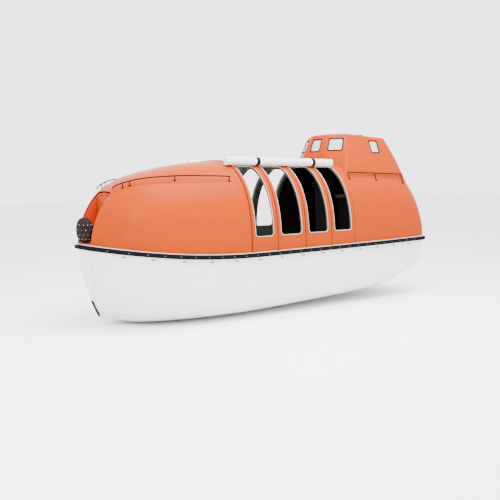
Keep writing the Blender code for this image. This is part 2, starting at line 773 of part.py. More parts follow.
def make_bays(materials):
    for number, (front, back) in enumerate(zip(BAY_SEAMS, BAY_SEAMS[1:]), start=1):
        outer = []
        inner = []
        for x, proud, depth in bay_sections(front, back):
            outer.append(mirrored(canopy_half_ring((x, bay_crown(x), CROWN_POWER, proud))))
            inner.append(mirrored(canopy_half_ring((x, bay_crown(x), CROWN_POWER, 0.0), -depth)))
        bay = to_object("bay_" + str(number), thick_sheet(outer, inner), materials["canopy_orange"])
        sill = SILL_ABOVE_SHEER + sheer_z((front + back) / 2.0)
        outline = rounded_outline(back + RIB_WIDTH, front - RIB_WIDTH, sill, OPENING_TOP_Z,
                                  OPENING_CORNER, -1.6)
        window = to_cutter("bay_opening_" + str(number), prism(outline, (0.0, 3.2, 0.0)))
        boolean(bay, window, 'DIFFERENCE')


# Cupola

HATCHWAY_FRONT_X = -2.26
HATCHWAY_BACK_X = -2.78
HATCHWAY_HALF_WIDTH = 0.24
COAMING_WIDTH = 0.02
COAMING_Z = 2.985


def cupola_ring(level, offset):
    """Six-sided outline at a level, counter-clockwise from the port front corner."""
    height, front, shoulder, aft = level
    port = [
        (front[0] + offset, front[1] + offset * 0.4),
        (shoulder[0] + offset * 0.55, shoulder[1] + offset),
        (aft[0] - offset, aft[1] + offset),
    ]
    starboard = [(x, -y) for x, y in reversed(port)]
    return [(x, y, height) for x, y in port + starboard]


def roof_z(x):
    """Height of the cupola roof, falling aft from its front edge."""
    height, front = CUPOLA_LEVELS[-1][:2]
    return height - CUPOLA_ROOF_FALL * (front[0] - x)


def up_to_roof(low, high, roof_drop):
    """End of an upright edge, slid along its line to the roof."""
    low = Vector(low)
    rise = Vector(high) - low
    part = (roof_z(low.x) - roof_drop - low.z) / (rise.z - CUPOLA_ROOF_FALL * rise.x)
    return low + rise * part


def cupola_solid(offset, roof_drop, floor_drop):
    floor, waist, top = (cupola_ring(level, offset) for level in CUPOLA_LEVELS)
    floor = [(x, y, z - floor_drop) for x, y, z in floor]
    roof = [up_to_roof(low, high, roof_drop) for low, high in zip(waist, top)]
    bm = bmesh.new()
    rings = [[bm.verts.new(point) for point in ring] for ring in (floor, waist, roof)]
    skin(bm, [ring + [ring[0]] for ring in rings])
    bm.faces.new(rings[0])
    bm.faces.new(list(reversed(rings[-1])))
    return bm


def make_cupola(materials):
    cupola = to_object("cupola", cupola_solid(0.0, 0.0, 0.0), materials["canopy_orange"])
    hollow = to_cutter("cupola_hollow", cupola_solid(-CUPOLA_WALL, CUPOLA_WALL, 0.1))
    boolean(cupola, hollow, 'DIFFERENCE')
    roof = to_cutter("cupola_seat", canopy_solid(AFT_SECTIONS_LONG, TOUCH_GAP * 4.0, 0.3))
    boolean(cupola, roof, 'DIFFERENCE')
    for name, frame_matrix, width, height in window_frames():
        cut = bmesh.new()
        bmesh.ops.create_cube(cut, size=1.0)
        bmesh.ops.scale(cut, vec=(0.16, width, height), verts=cut.verts)
        bmesh.ops.transform(cut, matrix=frame_matrix, verts=cut.verts)
        boolean(cupola, to_cutter(name + "_cut", cut), 'DIFFERENCE')
        pane = bmesh.new()
        bmesh.ops.create_cube(pane, size=1.0)
        edge = 2.0 * TOUCH_GAP
        bmesh.ops.scale(pane, vec=(WINDOW_THICKNESS, width - edge, height - edge), verts=pane.verts)
        bmesh.ops.translate(pane, vec=(-0.012, 0.0, 0.0), verts=pane.verts)
        bmesh.ops.transform(pane, matrix=frame_matrix, verts=pane.verts)
        to_object(name, pane, materials["window_glass"])
    front, back, half = HATCHWAY_FRONT_X, HATCHWAY_BACK_X, HATCHWAY_HALF_WIDTH
    way = to_cutter("cupola_hatchway", box((back, -half, COAMING_Z - 0.25), (front, half, COAMING_Z + 0.2)))
    boolean(cupola, way, 'DIFFERENCE')
    rim = COAMING_WIDTH
    foot_z = roof_z(back - rim) - 0.8 * CUPOLA_WALL
    coaming = to_cutter("cupola_coaming", box((back - rim, -half - rim, foot_z),
                                              (front + rim, half + rim, COAMING_Z)))
    boolean(cupola, coaming, 'UNION')
    boolean(cupola, way, 'DIFFERENCE')


AFT_SECTIONS_LONG = ((-1.20, 2.433, 2.54, 0.0),) + AFT_SECTIONS


def face_frame(corners, along_part, up_part):
    """Frame on a cupola face given as four corners: bottom start, bottom end, top end, top start."""
    a, b, c, d = [Vector(point) for point in corners]
    low = a.lerp(b, along_part)
    high = d.lerp(c, along_part)
    centre = low.lerp(high, up_part)
    across = (b.lerp(c, up_part) - a.lerp(d, up_part)).normalized()
    normal = (high - low).cross(across).normalized()
    outward = centre - Vector((-2.4, 0.0, 2.7))
    if normal.dot(outward) < 0.0:
        normal = -normal
    up = normal.cross(across).normalized()
    if up.z < 0.0:
        up = -up
    side = up.cross(normal).normalized()
    matrix = Matrix((normal, side, up)).transposed().to_4x4()
    matrix.translation = centre
    return matrix


def window_frames():
    """The six cupola windows: front, two angled, two side, one aft."""
    lower = cupola_ring(CUPOLA_LEVELS[1], 0.0)
    upper = cupola_ring(CUPOLA_LEVELS[2], 0.0)
    frames = []

    def add(name, first, second, along_part, up_part, width, height):
        corners = (lower[first], lower[second], upper[second], upper[first])
        frames.append((name, face_frame(corners, along_part, up_part), width, height))

    add("window_front", 0, 5, 0.5, 0.56, 0.27, 0.26)
    add("window_angled_port", 0, 1, 0.52, 0.56, 0.30, 0.26)
    add("window_angled_starboard", 5, 4, 0.52, 0.56, 0.30, 0.26)
    add("window_side_port", 1, 2, 0.63, 0.48, 0.22, 0.26)
    add("window_side_starboard", 4, 3, 0.63, 0.48, 0.22, 0.26)
    add("window_aft", 2, 3, 0.50, 0.48, 0.60, 0.24)
    return frames


LID_THICKNESS = 0.022
LID_LAP = 0.04
LID_BARREL_RADIUS = 0.011
LID_BARREL_HALF = 0.12
LID_HINGE_BACK = 0.045
LID_HINGE_RISE = 0.012
LID_TAIL = 0.025
LID_LUG_WIDTH = 0.025
LID_LUG_HALF = 0.012


def make_cupola_hatch(materials):
    """Flat lid on the cupola's coaming, hinged on its aft edge."""
    pivot = Vector((HATCHWAY_BACK_X - LID_HINGE_BACK, 0.0, COAMING_Z + LID_HINGE_RISE))
    low_z = COAMING_Z + RUNNING_GAP
    half = HATCHWAY_HALF_WIDTH + LID_LAP
    bm = rounded_box((HATCHWAY_BACK_X - LID_TAIL, -half, low_z),
                     (HATCHWAY_FRONT_X + LID_LAP, half, low_z + LID_THICKNESS), 0.008, 1)
    lid = to_object("cupola_hatch", bm, materials["canopy_orange"])
    barrel = to_cutter("cupola_hatch_barrel", cylinder((pivot.x, -LID_BARREL_HALF, pivot.z),
                                                       (pivot.x, LID_BARREL_HALF, pivot.z),
                                                       LID_BARREL_RADIUS, 10))
    strap_half = LID_BARREL_HALF - 0.01
    strap = to_cutter("cupola_hatch_strap", box((pivot.x, -strap_half, pivot.z - 0.004),
                                                (HATCHWAY_BACK_X - 0.01, strap_half, pivot.z + 0.008)))
    boolean(lid, barrel, 'UNION')
    boolean(lid, strap, 'UNION')
    set_origin(lid, pivot)
    cupola = bpy.data.objects["cupola"]
    lug_foot = roof_z(pivot.x) - 0.5 * CUPOLA_WALL
    for side in (-1.0, 1.0):
        low, high = sorted((side * (LID_BARREL_HALF + TOUCH_GAP), side * (LID_BARREL_HALF + LID_LUG_WIDTH)))
        lug = to_cutter("cupola_lug_" + ("s" if side < 0 else "p"),
                        box((pivot.x - LID_LUG_HALF, low, lug_foot),
                            (pivot.x + LID_LUG_HALF, high, pivot.z + LID_BARREL_RADIUS)))
        boolean(cupola, lug, 'UNION')


# Deck fittings

FORE_HOOK_X = 3.34
AFT_HOOK_X = -3.50
PIN_RADIUS = 0.011
PIN_GAP = 0.00025
PIN_SIDES = 32
PIN_HALF_LENGTH = 0.045
PIN_ABOVE_DECK = 0.17
HOOK_BASE = (0.075, 0.07, 0.014)
CHEEK_Y = (0.022, 0.036)
CHEEK_FOOT = 0.05
CHEEK_HEAD = 0.03
HOOK_HALF_THICKNESS = 0.016
HOOK_BOW_RISE = 0.115
HOOK_BOW_OUTER = 0.052
HOOK_BOW_INNER = 0.026


def make_hook(name, x, deck_z, facing, materials):
    """Lifting hook between the cheeks of its bracket, pinned across the boat."""
    pivot = Vector((x, 0.0, deck_z + PIN_ABOVE_DECK))
    length, width, thickness = HOOK_BASE
    base = box((x - length, -width, deck_z + TOUCH_GAP), (x + length, width, deck_z + thickness))
    bracket = to_object(name + "_bracket", base, materials["steel"])
    foot_z = deck_z + thickness - 0.004
    head_z = pivot.z + CHEEK_HEAD
    for side in (-1.0, 1.0):
        low, high = sorted((side * CHEEK_Y[0], side * CHEEK_Y[1]))
        points = [(x - CHEEK_FOOT, low, foot_z), (x + CHEEK_FOOT, low, foot_z),
                  (x + CHEEK_HEAD, low, head_z), (x - CHEEK_HEAD, low, head_z)]
        label = name + "_cheek_" + ("s" if side < 0 else "p")
        boolean(bracket, to_cutter(label, prism(points, (0.0, high - low, 0.0))), 'UNION')
    pin = cylinder((x, -PIN_HALF_LENGTH, pivot.z), (x, PIN_HALF_LENGTH, pivot.z), PIN_RADIUS, PIN_SIDES)
    boolean(bracket, to_cutter(name + "_pin", pin), 'UNION')
    half = HOOK_HALF_THICKNESS
    points = [(facing * u, -half, w) for u, w in hook_outline()]
    hook = to_object(name, prism(points, (0.0, 2.0 * half, 0.0)), materials["steel"])
    bore = cylinder((0.0, -PIN_HALF_LENGTH, 0.0), (0.0, PIN_HALF_LENGTH, 0.0), PIN_RADIUS + PIN_GAP, PIN_SIDES)
    hole = to_cutter(name + "_hole", bore)
    hole.location = pivot
    boolean(hook, hole, 'DIFFERENCE')
    hook.location = pivot


def hook_outline():
    """Side view of a hook about its pin: the shank, the bow round to the point, and back inside."""
    outline = [(-0.026, -0.03), (0.026, -0.03), (0.030, 0.05)]
    for radius, angles in ((HOOK_BOW_OUTER, range(-60, 181, 30)), (HOOK_BOW_INNER, range(180, -31, -30))):
        for angle in angles:
            turn = math.radians(angle)
            outline.append((radius * math.cos(turn), HOOK_BOW_RISE + radius * math.sin(turn)))
    return outline + [(0.008, 0.085), (-0.026, 0.06)]


def canopy_surface(x, y, sections, lift=0.0):
    """Point on a canopy at x and y, raised along Z."""
    for ahead, behind in zip(sections, sections[1:]):
        if ahead[0] >= x >= behind[0]:
            part = (ahead[0] - x) / (ahead[0] - behind[0])
            near = canopy_height(ahead, y)
            far = canopy_height(behind, y)
            return (x, y, near * (1.0 - part) + far * part + lift)
    return (x, y, canopy_height(sections[-1], y) + lift)


def canopy_height(section, y):
    ring = canopy_half_ring(section)
    for outer, inner in zip(ring[3:], ring[4:]):
        if outer[1] >= abs(y) >= inner[1]:
            span = outer[1] - inner[1]
            part = (outer[1] - abs(y)) / span if span > 1e-9 else 0.0
            return outer[2] * (1.0 - part) + inner[2] * part
    return ring[3][2]


HANDRAIL_RADIUS = 0.012
POST_RADIUS = 0.010
HANDRAIL_HEIGHT = 0.085

# Fore handrail line from bow to stern, x and distance from the centreline, and its posts
FORE_HANDRAIL = (
    (3.22, 0.34), (3.12, 0.42), (3.00, 0.51), (2.84, 0.60), (2.65, 0.69), (2.40, 0.782), (2.10, 0.865),
    (1.80, 0.93), (1.45, 0.975), (1.25, 0.997),
)
FORE_POSTS_X = (3.09, 2.99, 2.28, 1.27)

# Aft handrail: a straight bar beside the cupola, with posts that lean out to their feet
AFT_HANDRAIL_X = (-1.66, -3.29)
AFT_HANDRAIL_Z = (2.17, 2.13)
AFT_HANDRAIL_Y = 0.96
AFT_POSTS_X = (-1.68, -2.45, -3.27)
AFT_FEET_Y = 1.01


def make_handrail(name, rail, posts, canopy_skin, materials):
    """Grab rail along points, on posts from their feet in the canopy wall, cut off just clear of it."""
    bar = convert_curve(tube_curve(name, rail, HANDRAIL_RADIUS, materials["steel"], 1))
    for number, (foot, head) in enumerate(posts):
        post = to_cutter(name + "_post_" + str(number), cylinder(foot, head, POST_RADIUS, 8))
        boolean(bar, post, 'UNION')
    boolean(bar, canopy_skin, 'DIFFERENCE')


def fore_handrail_post(x, side):
    y = side * line_value(FORE_HANDRAIL, x)
    foot = canopy_surface(x, y, FORE_SECTIONS, -CANOPY_WALL)
    return (foot, canopy_surface(x, y, FORE_SECTIONS, HANDRAIL_HEIGHT))


def aft_handrail_point(x, side):
    part = (x - AFT_HANDRAIL_X[0]) / (AFT_HANDRAIL_X[1] - AFT_HANDRAIL_X[0])
    return (x, side * AFT_HANDRAIL_Y, AFT_HANDRAIL_Z[0] * (1.0 - part) + AFT_HANDRAIL_Z[1] * part)


def line_value(line, x):
    """Second value at x on a line given as pairs from bow to stern."""
    for (ahead, near), (behind, far) in zip(line, line[1:]):
        if ahead >= x >= behind:
            return near + (far - near) * (ahead - x) / (ahead - behind)
    return line[-1][1]


def convert_curve(item):
    """Turns a curve object into a mesh object of the same name."""
    graph = bpy.context.evaluated_depsgraph_get()
    mesh = bpy.data.meshes.new_from_object(item.evaluated_get(graph))
    name = item.name
    bpy.data.objects.remove(item, do_unlink=True)
    bm = bmesh.new()
    bm.from_mesh(mesh)
    material = mesh.materials[0]
    bmesh.ops.remove_doubles(bm, verts=bm.verts, dist=0.00002)
    return to_object(name, bm, material)


def make_handrails(materials):
    skin_gap = 2.0 * TOUCH_GAP
    fore_skin = to_cutter("fore_skin", canopy_solid(FORE_SECTIONS, skin_gap, 0.0))
    aft_skin = to_cutter("aft_skin", canopy_solid(AFT_SECTIONS, skin_gap, 0.0))
    for side, tag in ((1.0, "port"), (-1.0, "starboard")):
        rail = [canopy_surface(x, side * y, FORE_SECTIONS, HANDRAIL_HEIGHT) for x, y in FORE_HANDRAIL]
        posts = [fore_handrail_post(x, side) for x in FORE_POSTS_X]
        make_handrail("fore_handrail_" + tag, rail, posts, fore_skin, materials)
        rail = [aft_handrail_point(x, side) for x in AFT_HANDRAIL_X]
        posts = [(canopy_surface(x, side * AFT_FEET_Y, AFT_SECTIONS, -CANOPY_WALL), aft_handrail_point(x, side))
                 for x in AFT_POSTS_X]
        make_handrail("aft_handrail_" + tag, rail, posts, aft_skin, materials)


ROLL_RADIUS = 0.080
ROLL_LINE = ((1.14, 0.68), (-1.38, 0.77))
ROLL_STATIONS = (1.14, 1.11, 0.44, -0.23, -0.89, -1.35, -1.38)
ROLL_END_SHARE = 0.72
ROLL_SIDES = 36


def roll_centre_z(x, y):
    """Height of the roll's centre where it rests on the ridges of the bays."""
    ring = canopy_half_ring((x, bay_crown(x), CROWN_POWER, RIB_PROUD))
    edges = [(Vector((a[1], a[2])), Vector((b[1], b[2]))) for a, b in zip(ring, ring[1:])]
    low, high = bay_crown(x) - 0.10, bay_crown(x) + 0.10
    while high - low > 0.00002:
        middle = (low + high) / 2.0
        reach = min(distance_to_edge(Vector((y, middle)), a, b) for a, b in edges)
        if reach > ROLL_RADIUS + TOUCH_GAP:
            high = middle
        else:
            low = middle
    return high


def distance_to_edge(point, start, end):
    part = clamp((point - start).dot(end - start) / (end - start).length_squared, 0.0, 1.0)
    return (point - start.lerp(end, part)).length


def make_canvas_rolls(materials):
    """Rolled side curtains lying along the roof edge above the openings."""
    for side, tag in ((1.0, "port"), (-1.0, "starboard")):
        rings = []
        bm = bmesh.new()
        for x in ROLL_STATIONS:
            size = ROLL_RADIUS * (ROLL_END_SHARE if x in (ROLL_STATIONS[0], ROLL_STATIONS[-1]) else 1.0)
            centre_y = line_value(ROLL_LINE, x)
            centre_z = roll_centre_z(x, centre_y)
            ring = []
            for step in range(ROLL_SIDES):
                turn = 2.0 * math.pi * (step + 0.5) / ROLL_SIDES
                y = side * (centre_y + size * math.cos(turn))
                ring.append(bm.verts.new((x, y, centre_z + size * math.sin(turn))))
            rings.append(ring)
        skin(bm, [ring + [ring[0]] for ring in rings])
        bm.faces.new(rings[0])
        bm.faces.new(list(reversed(rings[-1])))
        to_object("canvas_roll_" + tag, bm, materials["canvas_white"])


BOW_FENDER_HALF_SIZE = (0.13, 0.26, 0.225)
BOW_FENDER_PLACE = (3.62, 0.0, 1.195)


def make_bow_fender(materials):
    """Rope pudding over the stem head, lying on the foredeck and the rail."""
    bm = bmesh.new()
    bmesh.ops.create_uvsphere(bm, u_segments=16, v_segments=10, radius=1.0)
    bmesh.ops.scale(bm, vec=BOW_FENDER_HALF_SIZE, verts=bm.verts)
    bmesh.ops.translate(bm, vec=BOW_FENDER_PLACE, verts=bm.verts)
    whole = bm.verts[:] + bm.edges[:] + bm.faces[:]
    deck = Vector((0.0, 0.0, BOW_DECK_Z + TOUCH_GAP))
    cut = bmesh.ops.bisect_plane(bm, geom=whole, plane_co=deck, plane_no=(0.0, 0.0, 1.0), clear_inner=True)
    edges = [element for element in cut["geom_cut"] if isinstance(element, bmesh.types.BMEdge)]
    bmesh.ops.contextual_create(bm, geom=edges)
    to_object("bow_fender", bm, materials["coir_brown"])


# Running gear

HUB_RADIUS = 0.034
HUB_X = (-0.055, 0.045)
CONE_X = (-0.050, -0.095)
CONE_RADII = (0.032, 0.010)
SHAFT_RADIUS = 0.018
BLADE_COUNT = 4

# Blade sections from root to tip: radius, half chord and pitch angle
BLADE_SECTIONS = (
    (0.024, 0.030, 58.0), (0.060, 0.046, 46.0), (0.100, 0.056, 36.0), (0.135, 0.044, 29.0),
    (PROPELLER_RADIUS, 0.016, 26.0),
)
BLADE_EDGE = 0.0012
BLADE_MIDDLE = 0.0045


def make_propeller(materials):
    """Four-bladed propeller with its shaft end, turning about X."""
    pivot = Vector((PROPELLER_X, 0.0, SHAFT_Z))
    shaft_front = STERN_TUBE_X[1] - TOUCH_GAP - PROPELLER_X
    hub = cylinder((HUB_X[0], 0.0, 0.0), (HUB_X[1], 0.0, 0.0), HUB_RADIUS, 12)
    propeller = to_object("propeller", hub, materials["bronze"])
    shaft = cylinder((HUB_X[1] - 0.015, 0.0, 0.0), (shaft_front, 0.0, 0.0), SHAFT_RADIUS, 10)
    cone = cylinder((CONE_X[0], 0.0, 0.0), (CONE_X[1], 0.0, 0.0), CONE_RADII[0], 12, CONE_RADII[1])
    for name, bm in (("propeller_shaft", shaft), ("propeller_cone", cone)):
        cutter = to_cutter(name, bm)
        cutter.location = pivot
        boolean(propeller, cutter, 'UNION')
    for number in range(BLADE_COUNT):
        blade = to_cutter("propeller_blade_" + str(number), blade_mesh())
        blade.rotation_euler = (math.radians(360.0 / BLADE_COUNT * number + 45.0), 0.0, 0.0)
        blade.location = pivot
        boolean(propeller, blade, 'UNION')
    propeller.location = pivot


def blade_mesh():
    """One twisted blade standing up from the hub."""
    bm = bmesh.new()
    rings = []
    for radius, chord, pitch in BLADE_SECTIONS:
        turn = math.radians(pitch)
        along_x = math.sin(turn)
        along_y = math.cos(turn)
        ring = []
        for side, parts in ((1.0, (-1.0, 0.0, 1.0)), (-1.0, (1.0, 0.0, -1.0))):
            for part in parts:
                thick = side * (BLADE_MIDDLE if part == 0.0 else BLADE_EDGE)
                ring.append(Vector((part * chord * along_x - thick * along_y,
                                    part * chord * along_y + thick * along_x, radius)))
        rings.append([bm.verts.new(point) for point in ring])
    skin(bm, [ring + [ring[0]] for ring in rings])
    bm.faces.new(rings[0])
    bm.faces.new(list(reversed(rings[-1])))
    return bm


GLAND_BOTTOM_Z = -0.115
GLAND_RADIUS = 0.045
STOCK_RADIUS = 0.022
STOCK_LENGTH = 0.20
RUDDER_HALF_THICKNESS = 0.014

# Rudder blade about the foot of its gland, x and z
RUDDER_OUTLINE = (
    (0.10, -0.03), (0.10, -0.10), (0.075, -0.335), (-0.20, -0.335), (-0.27, -0.06), (-0.20, -0.03),
)


def make_rudder(materials):
    """Spade rudder on a stock, with the gland that it hangs from under the hull."""
    gland_top = hull_bottom(RUDDER_X, 0.0) + GLAND_OVERRUN
    gland = cylinder((RUDDER_X, 0.0, GLAND_BOTTOM_Z), (RUDDER_X, 0.0, gland_top), GLAND_RADIUS, 12)
    gland = to_object("rudder_gland", gland, materials["bronze"])
    boolean(gland, bpy.data.objects["hull_shape"], 'DIFFERENCE')
    pivot = Vector((RUDDER_X, 0.0, GLAND_BOTTOM_Z))
    half = RUDDER_HALF_THICKNESS
    points = [(u, -half, w) for u, w in RUDDER_OUTLINE]
    rudder = to_object("rudder", prism(points, (0.0, 2.0 * half, 0.0)), materials["bronze"])
    stock = cylinder((0.0, 0.0, -TOUCH_GAP), (0.0, 0.0, -STOCK_LENGTH), STOCK_RADIUS, 12)
    stock = to_cutter("rudder_stock", stock)
    stock.location = pivot
    boolean(rudder, stock, 'UNION')
    rudder.location = pivot


# Interior

def make_sole(materials):
    top = SOLE_Z
    bottom = SOLE_Z - SOLE_THICKNESS
    stations = [x for x in STATIONS if SOLE_AFT_X < x < 2.5] + [SOLE_AFT_X]
    port = [(x, inner_breadth(x, bottom) - side_clearance(x)) for x in stations]
    outline = [(x, y, bottom) for x, y in port] + [(x, -y, bottom) for x, y in reversed(port)]
    sole = to_object("sole", prism(outline, (0.0, 0.0, top - bottom)), materials["liner_grey"])
    floor = max(ring_height(x, 0.05, HULL_WALL) for x in (-0.23, 0.44, 1.02))
    bearer = to_cutter("sole_bearer", box((-0.2, -0.05, floor + TOUCH_GAP), (1.0, 0.05, bottom + 0.01)))
    boolean(sole, bearer, 'UNION')


def side_clearance(x):
    """Room beside the sole and benches, wider forward where the sections rake."""
    return 0.005 + 0.09 * clamp((x - 0.5) / 2.0, 0.0, 1.0) + 0.02 * clamp((-x - 1.5) / 1.6, 0.0, 1.0)


def make_side_benches(materials):
    stations = [x for x in STATIONS if SOLE_AFT_X < x < BENCH_FORE_X]
    for side, tag in ((1.0, "port"), (-1.0, "starboard")):
        rings = []
        bm = bmesh.new()
        low = SOLE_Z + TOUCH_GAP
        for x in stations:
            foot_y = inner_breadth(x, low) - side_clearance(x)
            back_y = inner_breadth(x, BENCH_TOP_Z) - side_clearance(x)
            points = ((BENCH_FRONT_Y, low), (BENCH_FRONT_Y, BENCH_TOP_Z),
                      (back_y, BENCH_TOP_Z), (foot_y, low))
            rings.append([bm.verts.new((x, side * y, z)) for y, z in points])
        skin(bm, [ring + [ring[0]] for ring in rings])
        bm.faces.new(rings[0])
        bm.faces.new(list(reversed(rings[-1])))
        to_object("side_bench_" + tag, bm, materials["liner_grey"])


CENTRE_BENCH = ((-1.30, -0.26, SOLE_Z + TOUCH_GAP), (2.10, 0.26, 0.40))
CASING = ((-2.85, -0.36, SOLE_Z + TOUCH_GAP), (-2.00, 0.36, 0.72))
CASING_WALL = 0.02
ENGINE = ((-2.76, -0.24, SOLE_Z + TOUCH_GAP), (-2.10, 0.24, 0.52))


def make_interior(materials):
    make_sole(materials)
    make_side_benches(materials)
    to_object("centre_bench", rounded_box(*CENTRE_BENCH, 0.02, 1), materials["liner_grey"])
    casing = to_object("engine_casing", box(*CASING), materials["liner_grey"])
    inset = Vector((CASING_WALL, CASING_WALL, 0.0))
    low = Vector(CASING[0]) + inset - Vector((0.0, 0.0, 0.05))
    high = Vector(CASING[1]) - inset - Vector((0.0, 0.0, CASING_WALL))
    boolean(casing, to_cutter("casing_hollow", box(low, high)), 'DIFFERENCE')
    to_object("engine_block", box(*ENGINE), materials["engine_paint"])
    make_helm(materials)


CONSOLE = ((-1.96, -0.20, SOLE_Z + TOUCH_GAP), (-1.80, 0.20, 1.90))
CONSOLE_HEAD_HALF = 0.24

# Side view of the console's head, x and z
CONSOLE_HEAD = ((-1.96, 1.88), (-1.72, 1.88), (-1.76, 2.02), (-1.96, 2.20))
SEAT_COLUMN = ((-2.75, -0.18, CASING[1][2] + TOUCH_GAP), (-2.45, 0.18, 1.62))
SEAT_CUSHION = ((-2.80, -0.22, SEAT_COLUMN[1][2] + TOUCH_GAP), (-2.38, 0.22, 1.72))
SEAT_BACK = ((-2.86, -0.21, 1.64), (-2.78, 0.21, 2.12))
SEAT_EDGE = 0.03
WHEEL_Z = 2.08
WHEEL_RADIUS = 0.165
WHEEL_RIM_RADIUS = 0.014
WHEEL_RIM_X = -0.062
WHEEL_HUB_LENGTH = 0.075
WHEEL_HUB_RADIUS = 0.025
SPOKE_RADIUS = 0.009
SPOKE_COUNT = 3


def make_helm(materials):
    """Console, wheel and raised seat under the cupola."""
    console = to_object("helm_console", box(*CONSOLE), materials["liner_grey"])
    head_points = [(x, -CONSOLE_HEAD_HALF, z) for x, z in CONSOLE_HEAD]
    head = to_cutter("console_head", prism(head_points, (0.0, 2.0 * CONSOLE_HEAD_HALF, 0.0)))
    boolean(console, head, 'UNION')
    to_object("helm_seat_column", box(*SEAT_COLUMN), materials["liner_grey"])
    seat = to_object("helm_seat", rounded_box(*SEAT_CUSHION, SEAT_EDGE, 2), materials["cushion_grey"])
    back = to_cutter("helm_seat_back", rounded_box(*SEAT_BACK, SEAT_EDGE, 2))
    boolean(seat, back, 'UNION')
    make_wheel(Vector((CONSOLE[0][0] - TOUCH_GAP, 0.0, WHEEL_Z)), materials)


def make_wheel(pivot, materials):
    """Steering wheel on the console's aft face: hub, rim and spokes."""
    hub = cylinder((0.0, 0.0, 0.0), (-WHEEL_HUB_LENGTH, 0.0, 0.0), WHEEL_HUB_RADIUS, 12)
    wheel = to_object("steering_wheel", hub, materials["fender_black"])
    rim = bmesh.new()
    add_torus(rim, WHEEL_RADIUS, WHEEL_RIM_RADIUS, 24, 8)
    bmesh.ops.translate(rim, vec=(WHEEL_RIM_X, 0.0, 0.0), verts=rim.verts)
    rim_item = to_cutter("wheel_rim", rim)
    rim_item.location = pivot
    boolean(wheel, rim_item, 'UNION')
    reach = WHEEL_RADIUS - 0.005
    for number in range(SPOKE_COUNT):
        turn = math.radians(90.0 + 360.0 / SPOKE_COUNT * number)
        tip = (WHEEL_RIM_X, reach * math.cos(turn), reach * math.sin(turn))
        spoke = to_cutter("wheel_spoke_" + str(number), cylinder((WHEEL_RIM_X, 0.0, 0.0), tip, SPOKE_RADIUS, 6))
        spoke.location = pivot
        boolean(wheel, spoke, 'UNION')
    wheel.location = pivot


def add_torus(bm, ring_radius, tube_radius, ring_steps, tube_steps):
    """Torus about the X axis."""
    grid = []
    for step in range(ring_steps):
        turn = 2.0 * math.pi * step / ring_steps
        row = []
        for part in range(tube_steps):
            roll = 2.0 * math.pi * part / tube_steps
            radius = ring_radius + tube_radius * math.cos(roll)
            point = (tube_radius * math.sin(roll), radius * math.cos(turn), radius * math.sin(turn))
            row.append(bm.verts.new(point))
        grid.append(row + [row[0]])
    grid.append(grid[0])
    skin(bm, grid)


def clear_scene():
    for item in list(bpy.data.objects):
        bpy.data.objects.remove(item, do_unlink=True)


def main():
    clear_scene()
    materials = make_materials()
    make_hull(materials)
    make_keel(materials)
    make_stem_guard(materials)
    make_rail_and_fender(materials)
    make_fore_canopy(materials)
    make_bays(materials)
    make_aft_canopy(materials)
    make_cupola(materials)
    make_cupola_hatch(materials)
    make_end_hatch("bow_hatch", BOW_RECESS_X, 1.0, BOW_HATCH_Z, materials)
    make_end_hatch("stern_hatch", STERN_RECESS_X, -1.0, STERN_HATCH_Z, materials)
    make_hook("fore_hook", FORE_HOOK_X, BOW_DECK_Z, 1.0, materials)
    make_hook("aft_hook", AFT_HOOK_X, STERN_DECK_Z, -1.0, materials)
    make_handrails(materials)
    make_canvas_rolls(materials)
    make_bow_fender(materials)
    make_propeller(materials)
    make_rudder(materials)
    make_interior(materials)


main()
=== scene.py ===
# Looks of the partially enclosed lifeboat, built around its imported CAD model.
# Metres. +X is the bow, +Y is port, +Z is up, as in the CAD.

import math

import bmesh
import bpy
from mathutils import Matrix, Vector


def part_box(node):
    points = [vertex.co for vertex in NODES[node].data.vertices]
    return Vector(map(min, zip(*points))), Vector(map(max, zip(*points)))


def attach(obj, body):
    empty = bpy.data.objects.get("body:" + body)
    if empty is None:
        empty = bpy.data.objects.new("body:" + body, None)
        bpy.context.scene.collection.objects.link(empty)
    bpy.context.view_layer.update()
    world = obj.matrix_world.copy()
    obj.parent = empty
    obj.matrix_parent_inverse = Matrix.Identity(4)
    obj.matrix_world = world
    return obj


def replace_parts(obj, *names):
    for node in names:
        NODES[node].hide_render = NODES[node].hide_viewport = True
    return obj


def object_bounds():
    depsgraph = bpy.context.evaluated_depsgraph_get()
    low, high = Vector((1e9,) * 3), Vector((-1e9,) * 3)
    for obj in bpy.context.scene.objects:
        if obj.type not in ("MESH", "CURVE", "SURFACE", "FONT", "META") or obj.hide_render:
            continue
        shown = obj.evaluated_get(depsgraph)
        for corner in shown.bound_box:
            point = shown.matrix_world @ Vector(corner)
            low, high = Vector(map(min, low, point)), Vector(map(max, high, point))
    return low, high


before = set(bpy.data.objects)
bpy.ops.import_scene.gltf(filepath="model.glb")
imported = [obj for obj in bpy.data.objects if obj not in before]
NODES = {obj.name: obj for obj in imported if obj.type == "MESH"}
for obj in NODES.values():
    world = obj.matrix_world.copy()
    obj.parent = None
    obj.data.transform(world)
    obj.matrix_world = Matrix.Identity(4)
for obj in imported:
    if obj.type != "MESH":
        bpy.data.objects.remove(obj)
CAD_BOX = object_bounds()

